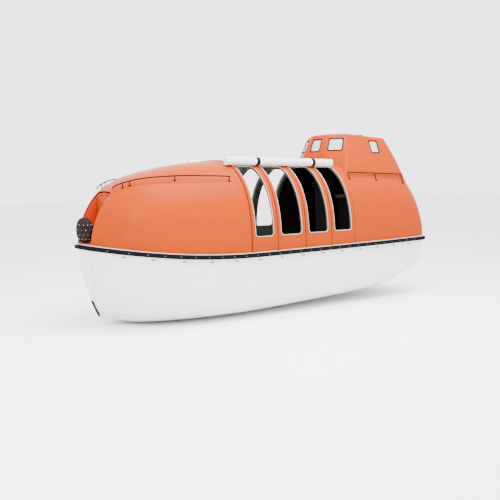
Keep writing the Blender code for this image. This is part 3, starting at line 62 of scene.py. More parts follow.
# Driving dimensions, as in the CAD except for the ribs, which are drawn less deep
BOW_X = 3.74
STERN_X = -3.76
HULL_HALF_BEAM = 1.325
STERN_WIDTH_RATIO = 0.91
STERN_CORNER_RADIUS = 0.10
STERN_CORNER_START = 0.967
STEM_HALF_WIDTH = 0.035
BOW_PLAN_POWERS = (5.2, 0.75)
SHEER_LOW_Z = 0.675
SHEER_LOW_X = 1.0
SHEER_RISE_BOW = 0.25
SHEER_RISE_STERN = 0.05
KEEL_LINE_Z = -0.47
FOREFOOT_START = 0.80
FOREFOOT_LENGTH = 0.20
FOREFOOT_LIFT = 0.125
ROCKER_LENGTH = 3.0
ROCKER_LIFT = 0.12
RUN_START = 0.55
RUN_LENGTH = 0.45
RUN_LIFT = 0.28
MIDSHIP_FULLNESS = 4.5
BOW_FULLNESS = 1.3
BOW_RAKE = (0.03, 0.19)
STERN_RAKE = (0.04, 0.05)
TUNNEL_RISE = 0.16
TUNNEL_FADE = 0.25
TUNNEL_HALF_WIDTH = 0.26
RIM_ABOVE_SHEER = 0.018
WALL = 0.030
CANOPY_INSET = 0.003
CANOPY_CROWN = 1.735
CANOPY_UPRIGHT = 0.135
UPRIGHT_LIMIT = 0.3
FOOT_SHARE = 0.09
CROWN_POWER = 2.54
SIDE_POWER = 2.39
BAY_SEAMS = (1.02, 0.44, -0.23, -0.89, -1.52)
SEAM_GAP = 0.006
RIB_WIDTH = 0.085
RIB_PROUD = 0.020
RIB_DEPTH = 0.060

# Moulded ridges: height, then where each starts to rise, over what length, where it starts to fall, over what
# length. The first is measured from a seam, the second from amidships.
RIB_RIDGE = (RIB_PROUD, 0.004, 0.010, 0.046, 0.026)
FORE_RIDGE = (0.014, 1.115, 0.02, 1.165, 0.025)

# Side openings, recesses, hatches, ends of the canopies, rolled curtains
SILL_ABOVE_SHEER = 0.325
OPENING_TOP_Z = 2.28
OPENING_CORNER = 0.07
RECESS_HALF_WIDTH = 0.30
BOW_RECESS_X = 3.24
BOW_DECK_Z = 0.985
STERN_RECESS_X = -3.34
STERN_DECK_Z = 0.80
HATCH_HALF_WIDTH = 0.21
BOW_HATCH_Z = (1.38, 1.75)
STERN_HATCH_Z = (1.30, 1.80)
FORE_CANOPY_X = 3.655
AFT_CANOPY_X = STERN_X + 0.002
ROLL_RADIUS = 0.080
ROLL_LINE = ((1.14, 0.68), (-1.38, 0.77))

# Crown height and squareness of the canopies by station: the fore one to its seam, the aft one from its seam
FORE_PROFILE = (
    (3.66, 1.02, 2.00), (3.62, 1.20, 2.10), (3.56, 1.40, 2.20), (3.50, 1.53, 2.27), (3.42, 1.66, 2.35),
    (3.34, 1.765, 2.42), (3.24, 1.87, 2.45), (3.12, 1.97, 2.42), (2.84, 2.11, 2.40), (2.45, 2.22, 2.42),
    (2.00, 2.31, 2.46), (1.50, 2.375, 2.50), (1.02, 2.410, 2.54),
)
AFT_PROFILE = (
    (-1.52, 2.433, 2.54), (-2.10, 2.432, 2.54), (-2.65, 2.432, 2.54), (-3.05, 2.42, 2.54),
    (-3.34, 2.37, 2.54), (-3.54, 2.19, 2.50), (-3.64, 1.90, 2.50), (-3.71, 1.42, 2.45), (-3.75, 1.10, 2.30),
    (-3.76, 0.98, 2.20),
)

# Cupola levels: height, then x and y of the front, shoulder and aft corners
CUPOLA_LEVELS = (
    (1.95, (-1.548, 0.44), (-1.60, 0.985), (-3.43, 0.985)),
    (2.47, (-1.552, 0.34), (-1.80, 0.80), (-3.28, 0.80)),
    (3.00, (-1.745, 0.22), (-1.95, 0.59), (-3.07, 0.59)),
)
CUPOLA_WALL = 0.028
CUPOLA_ROOF_FALL = 0.053
HATCHWAY_FRONT_X = -2.26
HATCHWAY_BACK_X = -2.78
HATCHWAY_HALF_WIDTH = 0.24
COAMING_WIDTH = 0.02
COAMING_Z = 2.985

# Fore handrail line from bow to stern, x and distance from the centreline, and its posts
FORE_HANDRAIL = (
    (3.22, 0.34), (3.12, 0.42), (3.00, 0.51), (2.84, 0.60), (2.65, 0.69), (2.40, 0.782), (2.10, 0.865),
    (1.80, 0.93), (1.45, 0.975), (1.25, 0.997),
)
FORE_POSTS_X = (3.09, 2.99, 2.28, 1.27)

# Aft handrail: a straight bar beside the cupola, with posts that lean out to their feet
AFT_HANDRAIL_X = (-1.66, -3.29)
AFT_HANDRAIL_Z = (2.17, 2.13)
AFT_HANDRAIL_Y = 0.96
AFT_POSTS_X = (-1.68, -2.45, -3.27)
AFT_FEET_Y = 1.01
HANDRAIL_RADIUS = 0.012
HANDRAIL_HEIGHT = 0.085

# Camera, from the vanishing lines and the gunwale in the photograph. The level directions are those of its
# horizon; the tilt comes from the picture centre's drop below it and the focal length, both in pixels.
CAMERA_PLACE = (7.976, 11.043, 1.876)
CAMERA_LENS = 48.24
CAMERA_SENSOR = 36.0
CAMERA_REACH = 500.0
CAMERA_AHEAD = (-0.5800, -0.8144, -0.0116)
CAMERA_ABOVE = (-0.0200, 0.0, 0.9997)
HORIZON_DROP = 54.0
FOCAL_LENGTH = 670.0
CAMERA_TILT = math.atan(HORIZON_DROP / FOCAL_LENGTH)

# Studio: half the floor's width and its gap under the keel, brightness of the surroundings, then each lamp's
# name, place, power in watts and size, and the point that both are aimed at
FLOOR_HALF_WIDTH = 120.0
FLOOR_GAP = 0.001
WORLD_STRENGTH = 3.4
LAMPS = (("key", (9.0, 7.0, 8.0), 1200.0, 5.0), ("top", (0.0, 3.0, 10.0), 4200.0, 8.0))
LAMP_AIM = (0.0, 0.0, 0.8)

SIDES = ((1.0, "port"), (-1.0, "starboard"))


def clamp(value, low, high):
    return max(low, min(high, value))


def smooth_step(t):
    t = clamp(t, 0.0, 1.0)
    return t * t * (3.0 - 2.0 * t)


# Lines of the boat

def sheer_z(x):
    if x > SHEER_LOW_X:
        return SHEER_LOW_Z + SHEER_RISE_BOW * ((x - SHEER_LOW_X) / (BOW_X - SHEER_LOW_X)) ** 2
    return SHEER_LOW_Z + SHEER_RISE_STERN * ((SHEER_LOW_X - x) / (SHEER_LOW_X - STERN_X)) ** 1.2


def half_breadth(x):
    if x >= 0.0:
        t = min(x / BOW_X, 1.0)
        half = HULL_HALF_BEAM * max(0.0, 1.0 - t ** BOW_PLAN_POWERS[0]) ** BOW_PLAN_POWERS[1]
    else:
        t = min(x / STERN_X, 1.0)
        half = HULL_HALF_BEAM * (1.0 - (1.0 - STERN_WIDTH_RATIO) * t ** 3)
        corner = clamp((t - STERN_CORNER_START) / (1.0 - STERN_CORNER_START), 0.0, 1.0)
        half -= STERN_CORNER_RADIUS * (1.0 - math.sqrt(1.0 - corner ** 2))
    return max(half, STEM_HALF_WIDTH)


def keel_z(x):
    """Bottom of the hull: level, lifting a little at the bow and in a long run aft."""
    if x >= SHEER_LOW_X:
        lift = clamp((x / BOW_X - FOREFOOT_START) / FOREFOOT_LENGTH, 0.0, 1.0)
        return KEEL_LINE_Z + FOREFOOT_LIFT * lift ** 1.4
    rocker = ROCKER_LIFT * ((SHEER_LOW_X - x) / ROCKER_LENGTH) ** 1.3
    run = clamp((x / STERN_X - RUN_START) / RUN_LENGTH, 0.0, 1.0)
    return KEEL_LINE_Z + rocker + RUN_LIFT * run ** 2.2


def tunnel_rise(x, y):
    """Hollow over the propeller, along the centreline aft."""
    depth = TUNNEL_RISE * smooth_step((x / STERN_X - RUN_START) / TUNNEL_FADE) if x < 0.0 else 0.0
    return depth * math.exp(-(y / TUNNEL_HALF_WIDTH) ** 2)


LEAST_HALF_BREADTH = 0.004


def hull_point(x, phi, inset=0.0, narrow=1.0):
    """Point on the hull. phi runs from 0 at the gunwale to a quarter turn at the keel, signed by the side."""
    side = math.copysign(1.0, phi)
    phi = min(abs(phi), math.pi / 2.0)
    top = sheer_z(x) + RIM_ABOVE_SHEER
    bottom = keel_z(x) + inset
    if x >= 0.0:
        t = x / BOW_X
        fullness = MIDSHIP_FULLNESS + (BOW_FULLNESS - MIDSHIP_FULLNESS) * t ** 3
        rake, (first, second), end = t ** 3, BOW_RAKE, 1.0
    else:
        t = x / STERN_X
        fullness = MIDSHIP_FULLNESS
        rake, (first, second), end = t ** 6, STERN_RAKE, -1.0
    half = max(half_breadth(x) - inset, LEAST_HALF_BREADTH)
    y = half * max(math.cos(phi), 0.0) ** (2.0 / fullness) * narrow
    drop = (top - bottom) * math.sin(phi) ** (2.0 / fullness)
    z = top - drop + tunnel_rise(x, y)
    lean = rake * (first * drop + second * drop ** 2)
    return Vector((x - end * lean, side * y, z))


def table_value(table, x, column):
    """Smooth value between the rows of a profile table that runs bow to stern."""
    x = clamp(x, table[-1][0], table[0][0])
    for index in range(len(table) - 1):
        ahead, behind = table[index], table[index + 1]
        if x >= behind[0]:
            break
    before = table[max(index - 1, 0)]
    after = table[min(index + 2, len(table) - 1)]
    span = behind[0] - ahead[0]
    slope_a = (behind[column] - before[column]) / (behind[0] - before[0])
    slope_b = (after[column] - ahead[column]) / (after[0] - ahead[0])
    t = (x - ahead[0]) / span
    return ((2 * t ** 3 - 3 * t ** 2 + 1) * ahead[column] + (t ** 3 - 2 * t ** 2 + t) * span * slope_a
            + (3 * t ** 2 - 2 * t ** 3) * behind[column] + (t ** 3 - t ** 2) * span * slope_b)


def profile_value(x, column, over_bays):
    """Value from a canopy's profile, or the one given over the bays."""
    if x > BAY_SEAMS[0]:
        return table_value(FORE_PROFILE, x, column)
    if x < BAY_SEAMS[-1]:
        return table_value(AFT_PROFILE, x, column)
    return over_bays


def crown_z(x):
    return profile_value(x, 1, sheer_z(x) + CANOPY_CROWN)


def squareness(x):
    return profile_value(x, 2, CROWN_POWER)


def canopy_lines(x, proud=0.0):
    """Foot, height of the upright part, half breadth and height above that part, at a station."""
    base = sheer_z(x) + RIM_ABOVE_SHEER
    upright = min(CANOPY_UPRIGHT, UPRIGHT_LIMIT * (crown_z(x) - base))
    half = half_breadth(x) - CANOPY_INSET + proud
    return base, upright, half, crown_z(x) + proud - base - upright


def canopy_point(x, s, proud=0.0):
    """Point on the canopies. s runs from -1 at the starboard gunwale over 0 at the crown to 1 at port."""
    side = math.copysign(1.0, s)
    climb = 1.0 - abs(s)
    base, upright, half, height = canopy_lines(x, proud)
    if climb < FOOT_SHARE:
        return Vector((x, side * half, base + upright * climb / FOOT_SHARE))
    phi = math.pi / 2.0 * (climb - FOOT_SHARE) / (1.0 - FOOT_SHARE)
    y = half * max(math.cos(phi), 0.0) ** (2.0 / SIDE_POWER)
    rise = height * math.sin(phi) ** (2.0 / squareness(x))
    return Vector((x, side * y, base + upright + rise))


def canopy_side_y(x, z):
    """Half breadth of the canopies at a height."""
    base, upright, half, height = canopy_lines(x)
    part = clamp((z - base - upright) / height, 0.0, 1.0)
    phi = math.asin(part ** (squareness(x) / 2.0))
    return half * math.cos(phi) ** (2.0 / SIDE_POWER)


def canopy_top_z(x, y, proud=0.0):
    """Height of the canopies at a distance from the centreline."""
    base, upright, half, height = canopy_lines(x, proud)
    part = clamp(abs(y) / half, 0.0, 1.0)
    phi = math.acos(part ** (SIDE_POWER / 2.0))
    return base + upright + height * math.sin(phi) ** (2.0 / squareness(x))


def ridge(shape, away):
    """How far a moulded ridge stands out."""
    height, start, rise, end, fall = shape
    return height * smooth_step((away - start) / rise) * (1.0 - smooth_step((away - end) / fall))


def rib_proud(x, seams):
    """How far the ridges on each side of the seams stand out."""
    return ridge(RIB_RIDGE, min(abs(x - seam) for seam in seams))


# Materials

def new_material(name):
    """Material with its nodes and links, its shader, and a function that lays noise over the piece."""
    material = bpy.data.materials.new(name)
    material.use_nodes = True
    nodes, links = material.node_tree.nodes, material.node_tree.links
    place = nodes.new("ShaderNodeTexCoord")

    def noise(scale, detail=2.0):
        texture = nodes.new("ShaderNodeTexNoise")
        texture.inputs["Scale"].default_value = scale
        texture.inputs["Detail"].default_value = detail
        links.new(place.outputs["Object"], texture.inputs["Vector"])
        return texture.outputs["Fac"]

    return material, nodes, links, nodes["Principled BSDF"], noise


def shade_between(nodes, links, source, shader, first, second):
    """Lets the base colour run between two colours with a noise, and gives the ramp."""
    ramp = nodes.new("ShaderNodeValToRGB")
    ramp.color_ramp.elements[0].color = (*first, 1.0)
    ramp.color_ramp.elements[1].color = (*second, 1.0)
    links.new(source, ramp.inputs["Fac"])
    links.new(ramp.outputs["Color"], shader.inputs["Base Color"])
    return ramp.color_ramp


def coloured(name, colour, roughness, metallic=0.0, mottle=0.04, scale=6.0, bump=0.0, bump_scale=200.0,
             coat=0.0, specular=0.5):
    """Finish with a slight drift of shade, a broken roughness and, where asked, a fine grain."""
    material, nodes, links, shader, noise = new_material(name)
    drift = noise(scale, 4.0)
    ramp = shade_between(nodes, links, drift, shader, [c * (1.0 - mottle) for c in colour],
                         [min(c * (1.0 + mottle), 1.0) for c in colour])
    ramp.elements[0].position = 0.30
    ramp.elements[1].position = 0.70
    sheen = nodes.new("ShaderNodeMapRange")
    sheen.inputs["To Min"].default_value = roughness * 0.85
    sheen.inputs["To Max"].default_value = min(roughness * 1.20, 1.0)
    links.new(drift, sheen.inputs["Value"])
    links.new(sheen.outputs["Result"], shader.inputs["Roughness"])
    shader.inputs["Metallic"].default_value = metallic
    shader.inputs["Specular IOR Level"].default_value = specular
    if coat > 0.0:
        shader.inputs["Coat Weight"].default_value = coat
        shader.inputs["Coat Roughness"].default_value = 0.08
    if bump > 0.0:
        relief = nodes.new("ShaderNodeBump")
        relief.inputs["Strength"].default_value = bump
        relief.inputs["Distance"].default_value = 0.002
        links.new(noise(bump_scale, 3.0), relief.inputs["Height"])
        links.new(relief.outputs["Normal"], shader.inputs["Normal"])
    return material


ORANGE = coloured("orange_gelcoat", (0.28, 0.031, 0.0002), 0.30, mottle=0.03, bump=0.02, bump_scale=14.0,
                  specular=0.03)
# Recess walls and deck: the orange painted deeper and redder as painted shade inside the end recesses
RECESS_ORANGE_PAINTED_SHADE = coloured("recess_orange_painted_shade", (0.36, 0.020, 0.0004), 0.6, mottle=0.05, specular=0.05)
WHITE = coloured("white_gelcoat", (0.66, 0.64, 0.65), 0.28, coat=0.15, mottle=0.02, bump=0.02,
                 bump_scale=10.0)
# Liner: near black as painted shade for the dark inside of the boat, not the liner's own colour
LINER_PAINTED_SHADE = coloured("liner_painted_shade", (0.010, 0.010, 0.010), 0.8, mottle=0.2, scale=3.0, specular=0.04)
JAMB = coloured("opening_jamb", (0.070, 0.072, 0.062), 0.6, mottle=0.15, scale=5.0, specular=0.1)
PALE_EDGE = coloured("pale_edge", (0.42, 0.37, 0.31), 0.45, mottle=0.06, scale=12.0)
RUBBER = coloured("black_rubber", (0.003, 0.003, 0.004), 0.8, mottle=0.3, scale=20.0, bump=0.15,
                  bump_scale=150.0, specular=0.04)
GASKET = coloured("seam_gasket", (0.006, 0.002, 0.001), 0.8, mottle=0.2, scale=20.0, specular=0.04)
STEEL = coloured("stainless", (0.16, 0.16, 0.17), 0.32, metallic=1.0, mottle=0.06, scale=30.0)
DARK_STEEL = coloured("dark_fitting", (0.008, 0.007, 0.007), 0.6, mottle=0.2, scale=40.0, specular=0.06)
BRONZE = coloured("bronze", (0.36, 0.22, 0.09), 0.38, metallic=1.0, mottle=0.2, scale=14.0, bump=0.1,
                  bump_scale=60.0)
CANVAS = coloured("canvas", (0.62, 0.60, 0.60), 0.8, mottle=0.05, scale=9.0, bump=0.35, bump_scale=500.0)
WEBBING = coloured("webbing", (0.004, 0.004, 0.005), 0.8, mottle=0.3, scale=60.0, bump=0.4, bump_scale=700.0,
                   specular=0.04)
COIR = coloured("coir_rope", (0.014, 0.008, 0.009), 0.95, mottle=0.8, scale=55.0, bump=1.0, bump_scale=160.0,
                specular=0.04)
PALE_ROPE = coloured("pale_rope", (0.42, 0.38, 0.36), 0.9, mottle=0.3, scale=80.0, bump=0.8, bump_scale=300.0)
VINYL = coloured("dark_vinyl", (0.03, 0.03, 0.032), 0.6, mottle=0.2, scale=10.0, bump=0.2, bump_scale=300.0)
ENGINE_GREEN = coloured("engine_enamel", (0.04, 0.12, 0.08), 0.4, mottle=0.15, scale=12.0)
MARKING = coloured("marking_grey", (0.05, 0.045, 0.045), 0.6, mottle=0.2, scale=50.0)
FLOOR_PAINT = coloured("studio_floor", (0.90, 0.90, 0.90), 0.9, mottle=0.01, scale=0.5)


def window_acrylic():
    material, nodes, links, shader, noise = new_material("window_acrylic")
    shade_between(nodes, links, noise(8.0), shader, (0.30, 0.36, 0.42), (0.42, 0.49, 0.55))
    shader.inputs["Roughness"].default_value = 0.06
    shader.inputs["Alpha"].default_value = 0.85
    return material


ACRYLIC = window_acrylic()


# Making pieces

EDGE_ANGLE = 40.0


def merge(bm, distance=0.00002):
    bmesh.ops.remove_doubles(bm, verts=bm.verts, dist=distance)


def open_edges(bm):
    return [edge for edge in bm.edges if len(edge.link_faces) == 1]


def finish_piece(name, bm, materials, body="boat", smooth_angle=EDGE_ANGLE, clean=True):
    """Turns a bmesh into a piece, which rides on a body unless that is None."""
    if clean:
        merge(bm)
        bmesh.ops.recalc_face_normals(bm, faces=bm.faces)
    mesh = bpy.data.meshes.new(name)
    bm.to_mesh(mesh)
    bm.free()
    for material in materials if isinstance(materials, (list, tuple)) else (materials,):
        mesh.materials.append(material)
    mesh.shade_smooth()
    mesh.set_sharp_from_angle(angle=math.radians(smooth_angle))
    piece = bpy.data.objects.new(name, mesh)
    bpy.context.scene.collection.objects.link(piece)
    if body:
        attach(piece, body)
    return piece


def sheet_of(across, along, place, material_index=0):
    """Grid laid on a surface: place takes two shares from 0 to 1 and gives a point."""
    bm = bmesh.new()
    bmesh.ops.create_grid(bm, x_segments=across, y_segments=along, size=0.5)
    for vert in bm.verts:
        vert.co = place(vert.co.x + 0.5, vert.co.y + 0.5)
    for face in bm.faces:
        face.material_index = material_index
    return bm


def join(target, other):
    """Adds another bmesh's geometry to the first."""
    mesh = bpy.data.meshes.new("joined")
    other.to_mesh(mesh)
    other.free()
    target.from_mesh(mesh)
    bpy.data.meshes.remove(mesh)


def closed_between(outer, inner):
    """Joins two sheets of the same outline into one closed shell and gives the faces made round its rim."""
    bmesh.ops.reverse_faces(inner, faces=inner.faces[:])
    join(outer, inner)
    return bmesh.ops.bridge_loops(outer, edges=open_edges(outer))["faces"]


def round_off(bm, edges, radius, segments):
    bmesh.ops.bevel(bm, geom=edges, offset=radius, segments=segments, profile=0.5, affect='EDGES',
                    material=-1)


def apply_modifiers(piece):
    graph = bpy.context.evaluated_depsgraph_get()
    mesh = bpy.data.meshes.new_from_object(piece.evaluated_get(graph))
    piece.modifiers.clear()
    piece.data = mesh


def cut_with(piece, cutters, operation='DIFFERENCE'):
    """Applies Boolean cuts one after another and removes the cutters."""
    for cutter in cutters:
        modifier = piece.modifiers.new("cut", 'BOOLEAN')
        modifier.operation = operation
        modifier.solver = 'EXACT'
        modifier.object = cutter
    apply_modifiers(piece)
    piece.data.shade_smooth()
    piece.data.set_sharp_from_angle(angle=math.radians(EDGE_ANGLE))
    for cutter in cutters:
        bpy.data.objects.remove(cutter, do_unlink=True)


def loose(name, bm, materials, material_index=0):
    """A cutter, which rides on nothing and goes after its cut, with the finish of the faces it leaves."""
    for face in bm.faces:
        face.material_index = material_index
    return finish_piece(name, bm, materials, body=None)


def block(low, high, bevel=0.0, segments=2):
    bm = bmesh.new()
    bmesh.ops.create_cube(bm, size=1.0)
    low, high = Vector(low), Vector(high)
    bmesh.ops.scale(bm, vec=high - low, verts=bm.verts)
    bmesh.ops.translate(bm, vec=(low + high) / 2.0, verts=bm.verts)
    if bevel > 0.0:
        round_off(bm, bm.edges[:], bevel, segments)
    return bm


def rod(start, end, radius, sides=16, end_radius=None):
    start, end = Vector(start), Vector(end)
    bm = bmesh.new()
    bmesh.ops.create_cone(bm, cap_ends=True, segments=sides, radius1=radius,
                          radius2=radius if end_radius is None else end_radius, depth=(end - start).length)
    turn = Vector((0.0, 0.0, 1.0)).rotation_difference(end - start).to_matrix().to_4x4()
    bmesh.ops.transform(bm, matrix=Matrix.Translation((start + end) / 2.0) @ turn, verts=bm.verts)
    return bm


def tube(name, points, radius, material, body="boat", cyclic=False, resolution=3):
    """Bent round bar through points, made a mesh."""
    curve = bpy.data.curves.new(name, 'CURVE')
    curve.dimensions = '3D'
    curve.bevel_depth = radius
    curve.bevel_resolution = resolution
    curve.use_fill_caps = not cyclic
    spline = curve.splines.new('POLY')
    spline.points.add(len(points) - 1)
    for target, point in zip(spline.points, points):
        target.co = (*point, 1.0)
    spline.use_cyclic_u = cyclic
    shape = bpy.data.objects.new(name, curve)
    bpy.context.scene.collection.objects.link(shape)
    graph = bpy.context.evaluated_depsgraph_get()
    mesh = bpy.data.meshes.new_from_object(shape.evaluated_get(graph))
    bpy.data.objects.remove(shape, do_unlink=True)
    bm = bmesh.new()
    bm.from_mesh(mesh)
    return finish_piece(name, bm, material, body)


# Stage, light and camera

def make_stage():
    bm = bmesh.new()
    bmesh.ops.create_grid(bm, x_segments=1, y_segments=1, size=FLOOR_HALF_WIDTH)
    bmesh.ops.translate(bm, vec=(0.0, 0.0, CAD_BOX[0].z - FLOOR_GAP), verts=bm.verts)
    floor = finish_piece("studio_floor", bm, FLOOR_PAINT, body=None, clean=False)
    world = bpy.data.worlds.new("studio")
    bpy.context.scene.world = world
    world.use_nodes = True
    world.node_tree.nodes["Background"].inputs["Color"].default_value = (1.0, 1.0, 1.0, 1.0)
    world.node_tree.nodes["Background"].inputs["Strength"].default_value = WORLD_STRENGTH
    for name, place, power, size in LAMPS:
        lamp = bpy.data.lights.new(name, 'AREA')
        lamp.energy = power
        lamp.size = size
        holder = bpy.data.objects.new(name, lamp)
        holder.location = place
        holder.rotation_euler = (Vector(LAMP_AIM) - Vector(place)).to_track_quat('-Z', 'Y').to_euler()
        bpy.context.scene.collection.objects.link(holder)


def make_camera():
    data = bpy.data.cameras.new("camera")
    data.lens = CAMERA_LENS
    data.sensor_width = CAMERA_SENSOR
    data.clip_end = CAMERA_REACH
    camera = bpy.data.objects.new("camera", data)
    bpy.context.scene.collection.objects.link(camera)
    level, above = Vector(CAMERA_AHEAD), Vector(CAMERA_ABOVE)
    ahead = (level * math.cos(CAMERA_TILT) - above * math.sin(CAMERA_TILT)).normalized()
    right = ahead.cross(above).normalized()
    up = right.cross(ahead)
    turn = Matrix((right, up, -ahead)).transposed()
    camera.matrix_world = Matrix.Translation(CAMERA_PLACE) @ turn.to_4x4()
    bpy.context.scene.camera = camera


# Hull. Each end of its grid closes to the centreline over a share of the grid's length, and the inside
# stops short of the stem by a few times its wall.

HULL_END_SHARE = 0.03
LINER_BOW_WALLS = 2.3


def hull_stations(share):
    """Station x from bow to stern, closer together at the ends."""
    middle = (BOW_X + STERN_X) / 2.0
    return middle + (BOW_X - STERN_X) / 2.0 * math.sin(math.pi / 2.0 * math.cos(math.pi * share))


def hull_skin(inset, across, along):
    """Sheet on the hull's outside, or inside it by the inset."""
    def place(u, v):
        phi = math.pi / 2.0 * (1.0 - abs(2.0 * v - 1.0))
        side = 1.0 if v >= 0.5 else -1.0
        narrow = clamp(min(u, 1.0 - u) / HULL_END_SHARE, 0.0, 1.0)
        x = hull_stations(clamp((u - HULL_END_SHARE) / (1.0 - 2.0 * HULL_END_SHARE), 0.0, 1.0))
        if inset > 0.0:
            x = clamp(x, STERN_X + inset, BOW_X - LINER_BOW_WALLS * inset)
        point = hull_point(x, phi, inset, narrow)
        point.y = side * abs(point.y)
        return point

    bm = sheet_of(across, along, place)
    merge(bm, 0.0002)
    return bm


def make_hull():
    shell = finish_piece("hull_shell", hull_skin(0.0, 150, 56), WHITE, smooth_angle=50.0)
    # The hull's inside is near black as painted shade
    inside = finish_piece("hull_inside", hull_skin(WALL, 100, 40), LINER_PAINTED_SHADE,
                          smooth_angle=50.0)
    inside.data.flip_normals()
    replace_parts(shell, "hull")


def gunwale_outline(count):
    """Plan points round the gunwale from the port side of the stem round the stern, with outward normals."""
    points = []
    for index in range(count + 1):
        share = index / count
        x = hull_stations(share)
        points.append(Vector((x, half_breadth(x), 0.0)))
    points.insert(0, Vector((BOW_X, 0.0, 0.0)))
    points += [Vector((p.x, -p.y, 0.0)) for p in reversed(points)]
    outline = []
    for index, point in enumerate(points):
        before = points[max(index - 1, 0)]
        after = points[min(index + 1, len(points) - 1)]
        run = (after - before).normalized()
        normal = Vector((run.y, -run.x, 0.0))
        if normal.dot(point) < 0.0:
            normal = -normal
        if point.y == 0.0:
            normal = Vector((1.0, 0.0, 0.0))
        outline.append((point, normal))
    return outline


# Gunwale strip and rubber fender: sections outward and up from the sheer, thinner towards the stem
GUNWALE_STEPS = 90
STEM_TAPER_LENGTH = 0.10
STEM_TAPER_LEAST = 0.3
RAIL_SECTION = (
    (0.001, -0.050), (0.014, -0.050), (0.018, -0.046), (0.018, 0.046), (0.014, 0.050), (0.001, 0.050),
)
FENDER_BACK = 0.019
FENDER_SHOULDER = 0.040
FENDER_HALF_HEIGHT = 0.038

# Nose of the fender: radius, how far out and up its centres lie, half its arc in degrees, steps
NOSE_RADIUS = 0.020
NOSE_OUT = 0.045
NOSE_UP = 0.016
NOSE_ARC = 60.0
NOSE_STEPS = 6


def swept_on_gunwale(section):
    """Closed section of outward and up distances, swept round the gunwale."""
    outline = gunwale_outline(GUNWALE_STEPS)
    ring = len(section)

    def place(u, v):
        point, normal = outline[round(u * (len(outline) - 1))]
        out, up = section[round(v * ring) % ring]
        taper = clamp((BOW_X - point.x) / STEM_TAPER_LENGTH, STEM_TAPER_LEAST, 1.0)
        spot = point + normal * out * taper
        return Vector((spot.x, spot.y, sheer_z(point.x) + up))

    bm = sheet_of(len(outline) - 1, ring, place)
    merge(bm, 0.00005)
    bmesh.ops.edgenet_fill(bm, edges=open_edges(bm))
    return bm


def fender_section():
    section = [(FENDER_BACK, -FENDER_HALF_HEIGHT), (FENDER_SHOULDER, -FENDER_HALF_HEIGHT)]
    for step in range(NOSE_STEPS + 1):
        degrees = NOSE_ARC * (2.0 * step / NOSE_STEPS - 1.0)
        centre_z = 0.0 if 2 * step == NOSE_STEPS else math.copysign(NOSE_UP, degrees)
        turn = math.radians(degrees)
        section.append((NOSE_OUT + NOSE_RADIUS * math.cos(turn), centre_z + NOSE_RADIUS * math.sin(turn)))
    return section + [(FENDER_SHOULDER, FENDER_HALF_HEIGHT), (FENDER_BACK, FENDER_HALF_HEIGHT)]


def make_gunwale():
    piece = finish_piece("gunwale_strip", swept_on_gunwale(RAIL_SECTION), PALE_EDGE,
                         smooth_angle=50.0)
    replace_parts(piece, "gunwale_rail")
    piece = finish_piece("fender_strip", swept_on_gunwale(fender_section()), RUBBER,
                         smooth_angle=60.0)
    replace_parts(piece, "rubber_fender")


# Canopies

CANOPY_ACROSS = 72
MASS_GRID = (60, 60)
MASS_WIDTH_SHARE = 0.98

# Upright ends: stations of each cap, how far it keeps inside the canopy and above the gunwale
FORE_CAP_X = (3.654, 3.62)
AFT_CAP_X = (-3.73, STERN_X + 0.004)
CAP_INSET = 0.004
CAP_LIFT = 0.001

# Recesses: tops of the blocks that form and cut them, all above the crown, the liner's wall, how far it
# keeps inside the canopy, the underside and stations of the solid that trims it, how far the cuts run past
RECESS_CUT_TOP_Z = 2.8
LINER_TOP_Z = 2.7
LINER_CUT_TOP_Z = 2.9
LINER_WALL = 0.014
LINER_INSET = 0.008
MASS_DROP = 0.1
BOW_TRIM_X = (FORE_CANOPY_X, 2.6)
STERN_TRIM_X = (-2.8, AFT_CANOPY_X)
PAST_END = 0.3
PAST_WALL = 0.1

# Way up through the aft canopy into the cupola
WAY_UP = ((-2.95, -0.50, 2.0), (-1.75, 0.50, 2.7))


def canopy_sheet(front, back, proud_at, along, across, material_index=0):
    """Sheet on the canopies between two stations, standing out by a distance given for each station."""
    def place(u, v):
        x = front + (back - front) * u
        return canopy_point(x, 2.0 * v - 1.0, proud_at(x))

    return sheet_of(along, across, place, material_index)


def canopy_shell(front, back, proud_at, along):
    """Closed shell of a canopy between two stations: orange outside, liner inside, made near black as painted
    shade.
    """
    outer = canopy_sheet(front, back, proud_at, along, CANOPY_ACROSS)
    closed_between(outer, canopy_sheet(front, back, lambda x: -WALL, along, CANOPY_ACROSS, 1))
    return outer


def recess_cutter(low_x, high_x, low_z):
    corners = (low_x, -RECESS_HALF_WIDTH, low_z), (high_x, RECESS_HALF_WIDTH, RECESS_CUT_TOP_Z)
    return loose("recess", block(*corners), ORANGE)


def make_fore_canopy():
    def proud(x):
        return rib_proud(x, (BAY_SEAMS[0],)) + ridge(FORE_RIDGE, x)

    skin = canopy_shell(FORE_CANOPY_X, BAY_SEAMS[0] + SEAM_GAP / 2.0, proud, 90)
    shell = finish_piece("fore_canopy_shell", skin, (ORANGE, LINER_PAINTED_SHADE))
    recess = BOW_RECESS_X, BOW_X + PAST_END, BOW_DECK_Z
    cut_with(shell, [recess_cutter(*recess)])
    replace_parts(shell, "fore_canopy")
    make_end_cap("fore_canopy_front", FORE_CAP_X, recess_cutter(*recess))
    make_recess("bow_recess_liner", (BOW_RECESS_X, BOW_X), BOW_DECK_Z, BOW_HATCH_Z, BOW_TRIM_X)


def canopy_mass(span, proud, drop):
    """Solid filling a canopy's outside shape, with a flat underside below the gunwale by a drop."""
    front, back = span

    def underside(u, v):
        x = front + (back - front) * u
        y = (2.0 * v - 1.0) * MASS_WIDTH_SHARE * half_breadth(x)
        return Vector((x, y, sheer_z(x) + RIM_ABOVE_SHEER - drop))

    bm = canopy_sheet(front, back, lambda x: proud, *MASS_GRID)
    closed_between(bm, sheet_of(*MASS_GRID, underside))
    return bm


def make_end_cap(name, span, recess):
    """Upright end of a canopy, between the gunwale and its last station."""
    cap = finish_piece(name, canopy_mass(span, -CAP_INSET, -CAP_LIFT), ORANGE)
    cut_with(cap, [recess])


